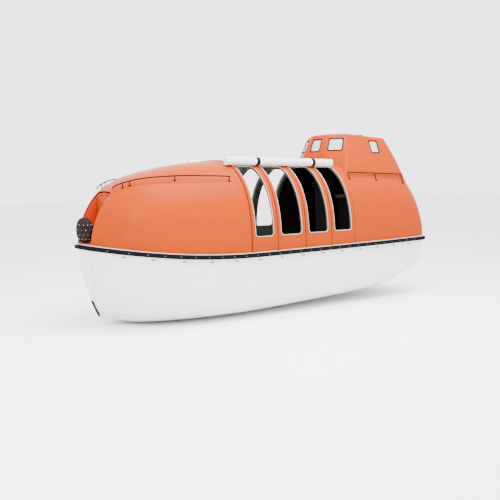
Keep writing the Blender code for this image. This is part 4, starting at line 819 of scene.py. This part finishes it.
def make_recess(name, reach, deck_z, hatch_z, trim_x):
    """Back wall, sides and deck of a recess, trimmed to the canopy, with the hatchway through its back, in a
    deeper orange that is painted shade.
    """
    wall_x, open_x = reach
    facing = math.copysign(1.0, open_x - wall_x)
    half, wall = RECESS_HALF_WIDTH, LINER_WALL
    low_x, high_x = sorted((wall_x - facing * wall, open_x))
    outside = block((low_x, -half - wall, deck_z - wall), (high_x, half + wall, LINER_TOP_Z))
    piece = finish_piece(name, outside, RECESS_ORANGE_PAINTED_SHADE)
    low_x, high_x = sorted((wall_x, open_x + facing * PAST_END))
    inside = loose("inside", block((low_x, -half, deck_z), (high_x, half, LINER_CUT_TOP_Z)), RECESS_ORANGE_PAINTED_SHADE)
    way = loose("way", block((wall_x - PAST_WALL, -HATCH_HALF_WIDTH, hatch_z[0]),
                             (wall_x + PAST_WALL, HATCH_HALF_WIDTH, hatch_z[1])), ())
    cut_with(piece, [inside, way])
    cut_with(piece, [loose("mass", canopy_mass(trim_x, -LINER_INSET, MASS_DROP), RECESS_ORANGE_PAINTED_SHADE)], 'INTERSECT')


def make_aft_canopy():
    def proud(x):
        return rib_proud(x, (BAY_SEAMS[-1],))

    skin = canopy_shell(BAY_SEAMS[-1] - SEAM_GAP / 2.0, AFT_CANOPY_X, proud, 80)
    shell = finish_piece("aft_canopy_shell", skin, (ORANGE, LINER_PAINTED_SHADE))
    recess = STERN_X - PAST_END, STERN_RECESS_X, STERN_DECK_Z
    cut_with(shell, [recess_cutter(*recess), loose("way_up", block(*WAY_UP), ())])
    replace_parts(shell, "aft_canopy")
    make_end_cap("aft_canopy_back", AFT_CAP_X, recess_cutter(*recess))
    make_recess("stern_recess_liner", (STERN_RECESS_X, STERN_X), STERN_DECK_Z, STERN_HATCH_Z, STERN_TRIM_X)


# Bays: steps at each rounded corner of the cut and of the pale edge round it, which follows the canopy in
# short lengths and stands a little proud
CUT_CORNER_STEPS = 6
EDGE_CORNER_STEPS = 8
EDGE_LENGTH = 0.06
EDGE_PROUD = 0.001
EDGE_RADIUS = 0.005

# Grid of a bay's skin, length over which a rib's depth runs out, and how far the openings' cut reaches
BAY_GRID = (44, 72)
RIB_SLOPE = 0.012
OPENING_CUT_Y = 1.7

# Seam gaskets: how far they stand out and reach in, and the share of the seam that they fill
GASKET_PROUD = 0.002
GASKET_DEPTH = 0.028
GASKET_FILL = 0.98


def opening_outline(front, back, steps):
    """Rounded outline of a side opening in x and z."""
    low_x, high_x = back + RIB_WIDTH, front - RIB_WIDTH
    low_z = SILL_ABOVE_SHEER + sheer_z((front + back) / 2.0)
    corners = (
        (high_x - OPENING_CORNER, OPENING_TOP_Z - OPENING_CORNER, 0.0),
        (low_x + OPENING_CORNER, OPENING_TOP_Z - OPENING_CORNER, 90.0),
        (low_x + OPENING_CORNER, low_z + OPENING_CORNER, 180.0),
        (high_x - OPENING_CORNER, low_z + OPENING_CORNER, 270.0),
    )
    points = []
    for centre_x, centre_z, start in corners:
        for step in range(steps + 1):
            turn = math.radians(start + 90.0 * step / steps)
            points.append((centre_x + OPENING_CORNER * math.cos(turn),
                           centre_z + OPENING_CORNER * math.sin(turn)))
    return points


def make_bay(number, front, back):
    start = front - SEAM_GAP / 2.0
    end = back + SEAM_GAP / 2.0

    def inside(x):
        away = min(front - x, x - back)
        return -(WALL + (RIB_DEPTH - WALL) * (1.0 - smooth_step((away - RIB_WIDTH + RIB_SLOPE) / RIB_SLOPE)))

    outer = canopy_sheet(start, end, lambda x: rib_proud(x, (front, back)), *BAY_GRID)
    for face in closed_between(outer, canopy_sheet(start, end, inside, *BAY_GRID, 1)):
        face.material_index = 1
    bay = finish_piece("bay_shell_" + str(number), outer, (ORANGE, JAMB))
    cutter = bmesh.new()
    outline = opening_outline(front, back, CUT_CORNER_STEPS)
    face = cutter.faces.new([cutter.verts.new((x, -OPENING_CUT_Y, z)) for x, z in outline])
    moved = bmesh.ops.extrude_face_region(cutter, geom=[face])["geom"]
    moved = [item for item in moved if isinstance(item, bmesh.types.BMVert)]
    bmesh.ops.translate(cutter, vec=(0.0, 2.0 * OPENING_CUT_Y, 0.0), verts=moved)
    cut_with(bay, [loose("opening", cutter, (ORANGE, JAMB), 1)])
    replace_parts(bay, "bay_" + str(number))
    for side, tag in SIDES:
        make_opening_edge("opening_edge_%d_%s" % (number, tag), front, back, side)


def make_opening_edge(name, front, back, side):
    """Pale edge round a side opening, in short lengths that follow the canopy."""
    outline = opening_outline(front, back, EDGE_CORNER_STEPS)
    points = []
    for (xa, za), (xb, zb) in zip(outline, outline[1:] + outline[:1]):
        parts = max(1, round(math.dist((xa, za), (xb, zb)) / EDGE_LENGTH))
        for part in range(parts):
            x = xa + (xb - xa) * part / parts
            z = za + (zb - za) * part / parts
            points.append((x, side * (canopy_side_y(x, z) + EDGE_PROUD), z))
    tube(name, points, EDGE_RADIUS, PALE_EDGE, cyclic=True, resolution=2)


def make_bays():
    for number, (front, back) in enumerate(zip(BAY_SEAMS, BAY_SEAMS[1:]), start=1):
        make_bay(number, front, back)
    half = SEAM_GAP / 2.0
    corners = ((half, -GASKET_DEPTH), (half, GASKET_PROUD), (-half, GASKET_PROUD), (-half, -GASKET_DEPTH))
    for number, seam in enumerate(BAY_SEAMS, start=1):
        def place(u, v):
            shift, proud = corners[round(v * 4) % 4]
            point = canopy_point(seam, 2.0 * u - 1.0, proud)
            point.x = seam + shift * GASKET_FILL
            return point

        bm = sheet_of(96, 4, place)
        merge(bm)
        bmesh.ops.edgenet_fill(bm, edges=open_edges(bm))
        finish_piece("seam_gasket_" + str(number), bm, GASKET)


# Cupola

# Shares of an offset that the slanted corners move by, the edges' radius and the measures that find them, a
# point inside, and how far the hollow runs past the floor
FRONT_CORNER_SHARE = 0.4
SHOULDER_SHARE = 0.55
CUPOLA_EDGE_RADIUS = 0.045
UPRIGHT_LEAST = 0.2
ROOF_EDGES_Z = 2.85
CUPOLA_MIDDLE = (-2.4, 0.0, 2.7)
HOLLOW_DROP = 0.1

# Seat that the cupola's walls are cut to: stations, grid, its underside, and its gap to the canopy
SEAT_X = (-1.20, -3.70)
SEAT_GRID = (30, 40)
SEAT_HALF_BREADTH = 1.0
SEAT_UNDER_Z = 0.6
SEAT_GAP = 0.001

# Roof hatchway: heights of its cut, the share of the roof that its coaming sinks into, the coaming's edge
HATCHWAY_CUT_Z = (2.8, 3.2)
COAMING_SEAT_SHARE = 0.8
COAMING_EDGE = 0.006

# Windows: depth of the cut, corner radius, and the gasket's thickness, margin round the pane and lap over it
WINDOW_CUT_DEPTH = 0.16
WINDOW_CORNER = 0.03
WINDOW_GASKET = 0.012
GASKET_MARGIN = 0.034
GASKET_LAP = 0.008

# Each window's name, the two corners of the cupola beside it, its place along and up that face, its size
WINDOWS = (
    ("window_front", 0, 5, 0.5, 0.56, 0.27, 0.26),
    ("window_angled_port", 0, 1, 0.52, 0.56, 0.30, 0.26),
    ("window_angled_starboard", 5, 4, 0.52, 0.56, 0.30, 0.26),
    ("window_side_port", 1, 2, 0.63, 0.48, 0.22, 0.26),
    ("window_side_starboard", 4, 3, 0.63, 0.48, 0.22, 0.26),
    ("window_aft", 2, 3, 0.50, 0.48, 0.60, 0.24),
)


def cupola_ring(level, offset):
    height, front, shoulder, aft = level
    port = [
        (front[0] + offset, front[1] + offset * FRONT_CORNER_SHARE),
        (shoulder[0] + offset * SHOULDER_SHARE, shoulder[1] + offset),
        (aft[0] - offset, aft[1] + offset),
    ]
    return [(x, y, height) for x, y in port] + [(x, -y, height) for x, y in reversed(port)]


def roof_z(x):
    """Height of the cupola roof, falling aft from its front edge."""
    height, front = CUPOLA_LEVELS[-1][:2]
    return height - CUPOLA_ROOF_FALL * (front[0] - x)


def up_to_roof(low, high, roof_drop):
    """End of an upright edge, slid along its line to the roof."""
    low = Vector(low)
    rise = Vector(high) - low
    part = (roof_z(low.x) - roof_drop - low.z) / (rise.z - CUPOLA_ROOF_FALL * rise.x)
    return low + rise * part


def cupola_body(offset, roof_drop, floor_drop, round_edges):
    floor, waist, top = (cupola_ring(level, offset) for level in CUPOLA_LEVELS)
    floor = [(x, y, z - floor_drop) for x, y, z in floor]
    roof = [up_to_roof(low, high, roof_drop) for low, high in zip(waist, top)]
    bm = bmesh.new()
    rings = [[bm.verts.new(p) for p in ring] for ring in (floor, waist, roof)]
    for low, high in zip(rings, rings[1:]):
        for j in range(6):
            bm.faces.new((low[j], low[(j + 1) % 6], high[(j + 1) % 6], high[j]))
    bm.faces.new(rings[-1])
    bm.faces.new(list(reversed(rings[0])))
    bmesh.ops.recalc_face_normals(bm, faces=bm.faces)
    if round_edges:
        upright = [e for e in bm.edges if abs(e.verts[0].co.z - e.verts[1].co.z) > UPRIGHT_LEAST]
        roof_edges = [e for e in bm.edges if min(v.co.z for v in e.verts) > ROOF_EDGES_Z]
        round_off(bm, upright + roof_edges, CUPOLA_EDGE_RADIUS, 4)
    return bm


def hatchway_block():
    low_z, high_z = HATCHWAY_CUT_Z
    half = HATCHWAY_HALF_WIDTH
    return block((HATCHWAY_BACK_X, -half, low_z), (HATCHWAY_FRONT_X, half, high_z))


def make_cupola():
    # Inside of the cupola near black as painted shade
    pair = (ORANGE, LINER_PAINTED_SHADE)
    shell = finish_piece("cupola_shell", cupola_body(0.0, 0.0, 0.0, True), pair)
    hollow = loose("hollow", cupola_body(-CUPOLA_WALL, CUPOLA_WALL, HOLLOW_DROP, False), pair, 1)
    cutters = [hollow, loose("seat", seat_body(), pair)]
    for name, matrix, width, height in window_frames():
        cutters.append(loose(name + "_cut", window_block(matrix, WINDOW_CUT_DEPTH, width, height), pair, 1))
    cutters.append(loose("way", hatchway_block(), pair))
    cut_with(shell, cutters)
    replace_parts(shell, "cupola")
    back_x, half = HATCHWAY_BACK_X - COAMING_WIDTH, HATCHWAY_HALF_WIDTH + COAMING_WIDTH
    ring = block((back_x, -half, roof_z(back_x) - COAMING_SEAT_SHARE * CUPOLA_WALL),
                 (HATCHWAY_FRONT_X + COAMING_WIDTH, half, COAMING_Z), COAMING_EDGE)
    coaming = finish_piece("cupola_coaming", ring, ORANGE)
    cut_with(coaming, [loose("way", hatchway_block(), ORANGE)])
    for name, matrix, width, height in window_frames():
        gasket = window_block(matrix, WINDOW_GASKET, width + GASKET_MARGIN, height + GASKET_MARGIN)
        gasket = finish_piece(name + "_gasket", gasket, RUBBER)
        pane = window_block(matrix, WINDOW_CUT_DEPTH, width - GASKET_LAP, height - GASKET_LAP)
        cut_with(gasket, [loose("pane", pane, RUBBER)])


def window_block(matrix, depth, width, height):
    """Rounded window shape standing through a cupola face."""
    bm = bmesh.new()
    bmesh.ops.create_cube(bm, size=1.0)
    bmesh.ops.scale(bm, vec=(depth, width, height), verts=bm.verts)
    edges = [e for e in bm.edges if abs(e.verts[0].co.x - e.verts[1].co.x) > 0.9 * depth]
    round_off(bm, edges, WINDOW_CORNER, 4)
    bmesh.ops.transform(bm, matrix=matrix, verts=bm.verts)
    return bm


def seat_body():
    """Solid under the cupola with the canopy's own outside."""
    front, back = SEAT_X

    def underside(u, v):
        return Vector((front + (back - front) * u, (2.0 * v - 1.0) * SEAT_HALF_BREADTH, SEAT_UNDER_Z))

    bm = canopy_sheet(front, back, lambda x: SEAT_GAP, *SEAT_GRID)
    closed_between(bm, sheet_of(*SEAT_GRID, underside))
    return bm


def face_frame(corners, along_part, up_part):
    """Frame on a cupola face, at shares along and up it, with its first axis outward and its third up."""
    a, b, c, d = [Vector(point) for point in corners]
    low = a.lerp(b, along_part)
    high = d.lerp(c, along_part)
    centre = low.lerp(high, up_part)
    across = (b.lerp(c, up_part) - a.lerp(d, up_part)).normalized()
    normal = (high - low).cross(across).normalized()
    if normal.dot(centre - Vector(CUPOLA_MIDDLE)) < 0.0:
        normal = -normal
    up = normal.cross(across).normalized()
    if up.z < 0.0:
        up = -up
    matrix = Matrix((normal, up.cross(normal).normalized(), up)).transposed().to_4x4()
    matrix.translation = centre
    return matrix


def window_frames():
    lower = cupola_ring(CUPOLA_LEVELS[1], 0.0)
    upper = cupola_ring(CUPOLA_LEVELS[2], 0.0)
    frames = []
    for name, first, second, along, up, width, height in WINDOWS:
        corners = (lower[first], lower[second], upper[second], upper[first])
        frames.append((name, face_frame(corners, along, up), width, height))
    return frames


# Fittings

def line_value(line, x):
    """Second value at x on a line given as pairs from bow to stern."""
    for (ahead, near), (behind, far) in zip(line, line[1:]):
        if x >= behind:
            return near + (far - near) * clamp((ahead - x) / (ahead - behind), 0.0, 1.0)
    return line[-1][1]


# Rolled curtains: stations of their straps, the share of the length that closes each end, and the depth of
# creases, fold and pinch at a strap, with the pinch's length
ROLL_STRAPS = (0.44, -0.89)
ROLL_CLOSE_SHARE = 0.02
CREASE = 0.0035
FOLD = 0.006
PINCH = 0.009
PINCH_LENGTH = 0.06


def make_rolls():
    """Rolled side curtains with creases, a fold along them and a pinch at each strap."""
    low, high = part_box("canvas_roll_port")
    for side, tag in SIDES:
        def place(u, v):
            along = clamp((u - ROLL_CLOSE_SHARE) / (1.0 - 2.0 * ROLL_CLOSE_SHARE), 0.0, 1.0)
            x = high.x + (low.x - high.x) * along
            close = clamp(min(u, 1.0 - u) / ROLL_CLOSE_SHARE, 0.0, 1.0)
            turn = 2.0 * math.pi * v
            crease = CREASE * math.sin(23.0 * x + 2.0 * math.cos(turn)) * math.sin(3.0 * turn + 5.0 * x)
            fold = FOLD * max(0.0, math.sin(turn + 0.6 * math.sin(4.0 * x)) ** 21)
            pinch = PINCH * max(math.exp(-((x - strap) / PINCH_LENGTH) ** 2) for strap in ROLL_STRAPS)
            size = (ROLL_RADIUS - FOLD + crease + fold - pinch) * close ** 0.5
            y = line_value(ROLL_LINE, x) + size * math.cos(turn)
            return Vector((x, side * y, roll_z(x) + size * math.sin(turn)))

        bm = sheet_of(220, 40, place)
        merge(bm, 0.0003)
        piece = finish_piece("curtain_roll_" + tag, bm, CANVAS, smooth_angle=80.0)
        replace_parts(piece, "canvas_roll_" + tag)


def roll_z(x):
    """Height of the roll's centre, resting on the ridges."""
    y = line_value(ROLL_LINE, x)
    step = 0.02
    slope = (canopy_top_z(x, y + step, RIB_PROUD) - canopy_top_z(x, y - step, RIB_PROUD)) / (2.0 * step)
    return canopy_top_z(x, y, RIB_PROUD) + ROLL_RADIUS * math.sqrt(1.0 + slope ** 2)


# Handrails: steps of the fore one and how far its front end drops, posts, and foot plates from low to high
FORE_RAIL_STEPS = 60
FORE_RAIL_DROP = 0.03
POST_RADIUS = 0.010
POST_SINK = 0.008
FOOT_RADIUS = 0.024
FOOT_PLATE = (0.002, 0.012)


def fore_rail_point(x, side, height):
    y = line_value(FORE_HANDRAIL, x)
    return Vector((x, side * y, canopy_top_z(x, y) + height))


def aft_rail_point(x, side):
    part = (x - AFT_HANDRAIL_X[0]) / (AFT_HANDRAIL_X[1] - AFT_HANDRAIL_X[0])
    return Vector((x, side * AFT_HANDRAIL_Y, AFT_HANDRAIL_Z[0] * (1.0 - part) + AFT_HANDRAIL_Z[1] * part))


def make_handrails():
    for side, tag in SIDES:
        front, back = FORE_HANDRAIL[0][0], FORE_HANDRAIL[-1][0]
        points = [fore_rail_point(front, side, HANDRAIL_HEIGHT - FORE_RAIL_DROP)]
        for step in range(FORE_RAIL_STEPS + 1):
            x = front + (back - front) * step / FORE_RAIL_STEPS
            points.append(fore_rail_point(x, side, HANDRAIL_HEIGHT))
        posts = [(fore_rail_point(x, side, 0.0), fore_rail_point(x, side, HANDRAIL_HEIGHT))
                 for x in FORE_POSTS_X]
        make_handrail("fore_rail_" + tag, "fore_handrail_" + tag, points, posts)
        points = [aft_rail_point(x, side) for x in AFT_HANDRAIL_X]
        posts = [(Vector((x, side * AFT_FEET_Y, canopy_top_z(x, AFT_FEET_Y))), aft_rail_point(x, side))
                 for x in AFT_POSTS_X]
        make_handrail("aft_rail_" + tag, "aft_handrail_" + tag, points, posts)


def make_handrail(name, node, points, posts):
    """Tube on round posts with small foot plates."""
    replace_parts(tube(name, points, HANDRAIL_RADIUS, DARK_STEEL), node)
    for number, (foot, head) in enumerate(posts):
        rise = (head - foot).normalized()
        bm = rod(foot - rise * POST_SINK, head, POST_RADIUS, 12)
        join(bm, rod(foot + rise * FOOT_PLATE[0], foot + rise * FOOT_PLATE[1], FOOT_RADIUS, 20))
        finish_piece("%s_post_%d" % (name, number), bm, DARK_STEEL)


# Knuckle lines moulded along the canopies, x and height from bow to stern, drawn as half-sunk beads
FORE_KNUCKLE = ((2.98, 1.96), (2.60, 1.985), (1.20, 2.00))
AFT_KNUCKLE = ((-1.66, 2.09), (-2.46, 2.062), (-3.40, 2.02))
KNUCKLE_RADIUS = 0.009
KNUCKLE_SINK = 0.003
KNUCKLE_STEPS = 40


def make_knuckles():
    """Low rounded beads along the canopies below the handrails."""
    for end, line in (("fore", FORE_KNUCKLE), ("aft", AFT_KNUCKLE)):
        for side, tag in SIDES:
            points = []
            for step in range(KNUCKLE_STEPS + 1):
                x = line[0][0] + (line[-1][0] - line[0][0]) * step / KNUCKLE_STEPS
                z = line_value(line, x)
                points.append((x, side * (canopy_side_y(x, z) - KNUCKLE_SINK), z))
            tube("%s_knuckle_%s" % (end, tag), points, KNUCKLE_RADIUS, ORANGE)


STRAP_HALF_WIDTH = 0.036
STRAP_PROUD = 0.003


def make_straps():
    """Webbing bands round the rolled curtains."""
    for side, tag in SIDES:
        for number, middle in enumerate(ROLL_STRAPS):
            def place(u, v):
                x = middle + STRAP_HALF_WIDTH * (2.0 * u - 1.0)
                turn = 2.0 * math.pi * v
                y = line_value(ROLL_LINE, x) + (ROLL_RADIUS - STRAP_PROUD) * math.cos(turn)
                return Vector((x, side * y, roll_z(x) + (ROLL_RADIUS - STRAP_PROUD) * math.sin(turn)))

            bm = sheet_of(4, 48, place)
            merge(bm, 0.0005)
            bmesh.ops.recalc_face_normals(bm, faces=bm.faces)
            bmesh.ops.solidify(bm, geom=bm.faces[:], thickness=STRAP_PROUD)
            finish_piece("roll_strap_%s_%d" % (tag, number), bm, WEBBING)


# Lifeline eyes along each side: the foremost, then an even row aft of the second. Each is a bar on two legs
# set into the hull, with foot plates that lie a little in it and a little out.
EYE_FIRST_X = 3.27
EYE_SECOND_X = 2.87
EYE_PITCH = 0.505
EYE_COUNT = 14
EYE_DROP = 0.085
EYE_HALF_SPAN = 0.022
EYE_HALF_BAR = 0.025
EYE_OUT = 0.020
EYE_RADIUS = 0.006
EYE_SINK = 0.006
EYE_PLATE_RADIUS = 0.013
EYE_PLATE = (0.002, 0.003)

# Bolt heads on the fender: pitch, distance of the first from the stem, length left free in all, radius, and
# how far out each head starts and ends
BOLT_PITCH = 0.25
BOLT_START = 0.3
BOLT_FREE = 0.5
BOLT_RADIUS = 0.011
BOLT_HEAD = (0.056, 0.067)


SLOPE_STEP = 0.02
HALVINGS = 30


def outward(x, side):
    """Level direction out of the hull's side."""
    slope = (half_breadth(x - SLOPE_STEP) - half_breadth(x + SLOPE_STEP)) / (2.0 * SLOPE_STEP)
    out = Vector((slope, 1.0, 0.0)).normalized()
    return Vector((out.x, side * out.y, 0.0))


def hull_side(x, z, side):
    """Point on the hull's side at a height near the gunwale, found by halving."""
    phi_low, phi_high = 0.0, math.pi / 2.0
    for _ in range(HALVINGS):
        phi = (phi_low + phi_high) / 2.0
        if hull_point(x, phi).z > z:
            phi_low = phi
        else:
            phi_high = phi
    point = hull_point(x, phi)
    return Vector((point.x, side * point.y, point.z))


def make_lifeline_eyes():
    """Small bent eyes under the fender, with their foot plates."""
    stations = [EYE_FIRST_X] + [EYE_SECOND_X - EYE_PITCH * step for step in range(EYE_COUNT - 1)]
    for side, tag in SIDES:
        bm = bmesh.new()
        for x in stations:
            point, out = hull_side(x, sheer_z(x) - EYE_DROP, side), outward(x, side)
            run = Vector((out.y, -out.x, 0.0))
            for share in (-1.0, 1.0):
                foot = point + run * EYE_HALF_SPAN * share
                join(bm, rod(foot - out * EYE_SINK, foot + out * EYE_OUT, EYE_RADIUS, 10))
                join(bm, rod(foot - out * EYE_PLATE[0], foot + out * EYE_PLATE[1], EYE_PLATE_RADIUS, 14))
            bar = run * EYE_HALF_BAR
            join(bm, rod(point - bar + out * EYE_OUT, point + bar + out * EYE_OUT, EYE_RADIUS, 10))
        finish_piece("lifeline_eyes_" + tag, bm, MARKING)


def make_fender_bolts():
    """Round bolt heads along the middle of the fender."""
    for side, tag in SIDES:
        bm = bmesh.new()
        for step in range(int((BOW_X - STERN_X - BOLT_FREE) / BOLT_PITCH)):
            x = BOW_X - BOLT_START - BOLT_PITCH * step
            out = outward(x, side)
            seat = Vector((x, side * half_breadth(x), sheer_z(x)))
            join(bm, rod(seat + out * BOLT_HEAD[0], seat + out * BOLT_HEAD[1], BOLT_RADIUS, 12))
        finish_piece("fender_bolts_" + tag, bm, MARKING)


# Rope fender: depth, turns and climb of the plait, how blunt its ends are, and the knots' rows as angles
# above its middle, number in a row and radius
PLAIT_BODY = 0.93
PLAIT_DEPTH = 0.045
PLAIT_TURNS = 9.0
PLAIT_CLIMB = 10.0
END_POWER = 0.75
KNOT_ROWS = (-0.75, -0.35, 0.05, 0.45)
KNOTS_IN_ROW = 12
KNOT_RADIUS = 0.006


def make_bow_pudding():
    """Rope fender over the stem head: a dark plaited body with pale knots."""
    low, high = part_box("bow_fender")
    middle = (low + high) / 2.0
    half = (high - low) / 2.0

    def place(u, v):
        around = 2.0 * math.pi * u
        up = math.pi * (v - 0.5)
        turns, climb = PLAIT_TURNS * around, PLAIT_CLIMB * up
        plait = PLAIT_BODY + PLAIT_DEPTH * math.sin(turns + climb) * math.sin(turns - climb)
        flat = max(math.cos(up), 0.0) ** END_POWER
        return Vector((middle.x + half.x * plait * flat * math.cos(around),
                       middle.y + half.y * plait * flat * math.sin(around),
                       middle.z + half.z * math.sin(up)))

    bm = sheet_of(120, 60, place)
    merge(bm, 0.0004)
    pudding = finish_piece("bow_pudding", bm, COIR, smooth_angle=80.0)
    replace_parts(pudding, "bow_fender")
    knots = bmesh.new()
    for row, climb in enumerate(KNOT_ROWS):
        for step in range(KNOTS_IN_ROW):
            around = 2.0 * math.pi * (step + 0.5 * (row % 2)) / KNOTS_IN_ROW
            flat = math.cos(climb) ** END_POWER * PLAIT_BODY
            spot = Vector((middle.x + half.x * flat * math.cos(around),
                           middle.y + half.y * flat * math.sin(around),
                           middle.z + half.z * math.sin(climb)))
            knot = bmesh.new()
            bmesh.ops.create_uvsphere(knot, u_segments=10, v_segments=6, radius=KNOT_RADIUS)
            bmesh.ops.translate(knot, vec=spot, verts=knot.verts)
            join(knots, knot)
    finish_piece("bow_pudding_knots", knots, PALE_ROPE)


# Helm seat: thickness of cushion and back, start of the cushion, the back's distance from the sides and the
# underside, and the padding's edge
CUSHION_THICKNESS = 0.10
BACK_THICKNESS = 0.08
CUSHION_START = 0.06
BACK_INSET = 0.01
BACK_LIFT = 0.02
PAD_EDGE = 0.03


def make_helm_seat():
    """Padded cushion and back of the helmsman's seat."""
    low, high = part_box("helm_seat")
    bm = block((low.x + CUSHION_START, low.y, low.z),
               (high.x, high.y, low.z + CUSHION_THICKNESS), PAD_EDGE, 4)
    join(bm, block((low.x, low.y + BACK_INSET, low.z + BACK_LIFT),
                   (low.x + BACK_THICKNESS, high.y - BACK_INSET, high.z), PAD_EDGE, 4))
    seat = finish_piece("helm_seat_pad", bm, VINYL, clean=False)
    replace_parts(seat, "helm_seat")


# Grab handles: how far the hatch's outer face is from the recess wall, the handle's half length, reach,
# height above the hatchway's foot and radius
HATCH_FACE = 0.0275
HANDLE_HALF = 0.06
HANDLE_OUT = 0.028
HANDLE_RISE = 0.06
HANDLE_RADIUS = 0.006


def make_hatch_handles():
    """Bent grab handles on the end hatches, which swing with them."""
    for name, wall_x, facing, heights in (("bow_hatch", BOW_RECESS_X, 1.0, BOW_HATCH_Z),
                                          ("stern_hatch", STERN_RECESS_X, -1.0, STERN_HATCH_Z)):
        near = wall_x + facing * HATCH_FACE
        far = near + facing * HANDLE_OUT
        z = heights[0] + HANDLE_RISE
        ends = ((near, -1.0), (far, -1.0), (far, 1.0), (near, 1.0))
        points = [(x, share * HANDLE_HALF, z) for x, share in ends]
        tube(name + "_handle", points, HANDLE_RADIUS, STEEL, body=name)


# Draught bars: station, distances below the sheer and half size
STEM_MARK_X = 3.64
STEM_MARK_DROPS = (0.28, 0.36, 0.44, 0.52, 0.60, 0.68)
STEM_MARK_HALF = (0.022, 0.002, 0.005)


def make_stem_marks():
    """Plain short draught bars beside the stem, without figures."""
    half = Vector(STEM_MARK_HALF)
    for side, tag in SIDES:
        bm = bmesh.new()
        for drop in STEM_MARK_DROPS:
            spot = hull_side(STEM_MARK_X, sheer_z(STEM_MARK_X) - drop, side)
            join(bm, block(spot - half, spot + half))
        finish_piece("stem_marks_" + tag, bm, MARKING)


def paint_nodes():
    """Finishes for the CAD nodes that stay in view."""
    finishes = (
        (WHITE, "keel"),
        (RUBBER, "stem_guard steering_wheel"),
        (ORANGE, "cupola_hatch bow_hatch stern_hatch"),
        (STEEL, "fore_hook fore_hook_bracket aft_hook aft_hook_bracket"),
        (BRONZE, "propeller rudder rudder_gland"),
        (ENGINE_GREEN, "engine_block"),
        # Sole, benches, engine casing and helm console near black as painted shade
        (LINER_PAINTED_SHADE, "sole side_bench_port side_bench_starboard centre_bench engine_casing"),
        (LINER_PAINTED_SHADE, "helm_console helm_seat_column"),
        (ACRYLIC, "window_front window_angled_port window_angled_starboard window_side_port"),
        (ACRYLIC, "window_side_starboard window_aft"),
    )
    for material, names in finishes:
        for name in names.split():
            NODES[name].data.materials.clear()
            NODES[name].data.materials.append(material)


make_camera()
make_stage()
make_hull()
make_gunwale()
make_fore_canopy()
make_bays()
make_aft_canopy()
make_cupola()
make_rolls()
make_handrails()
make_knuckles()
make_straps()
make_lifeline_eyes()
make_fender_bolts()
make_bow_pudding()
make_helm_seat()
make_hatch_handles()
make_stem_marks()
paint_nodes()
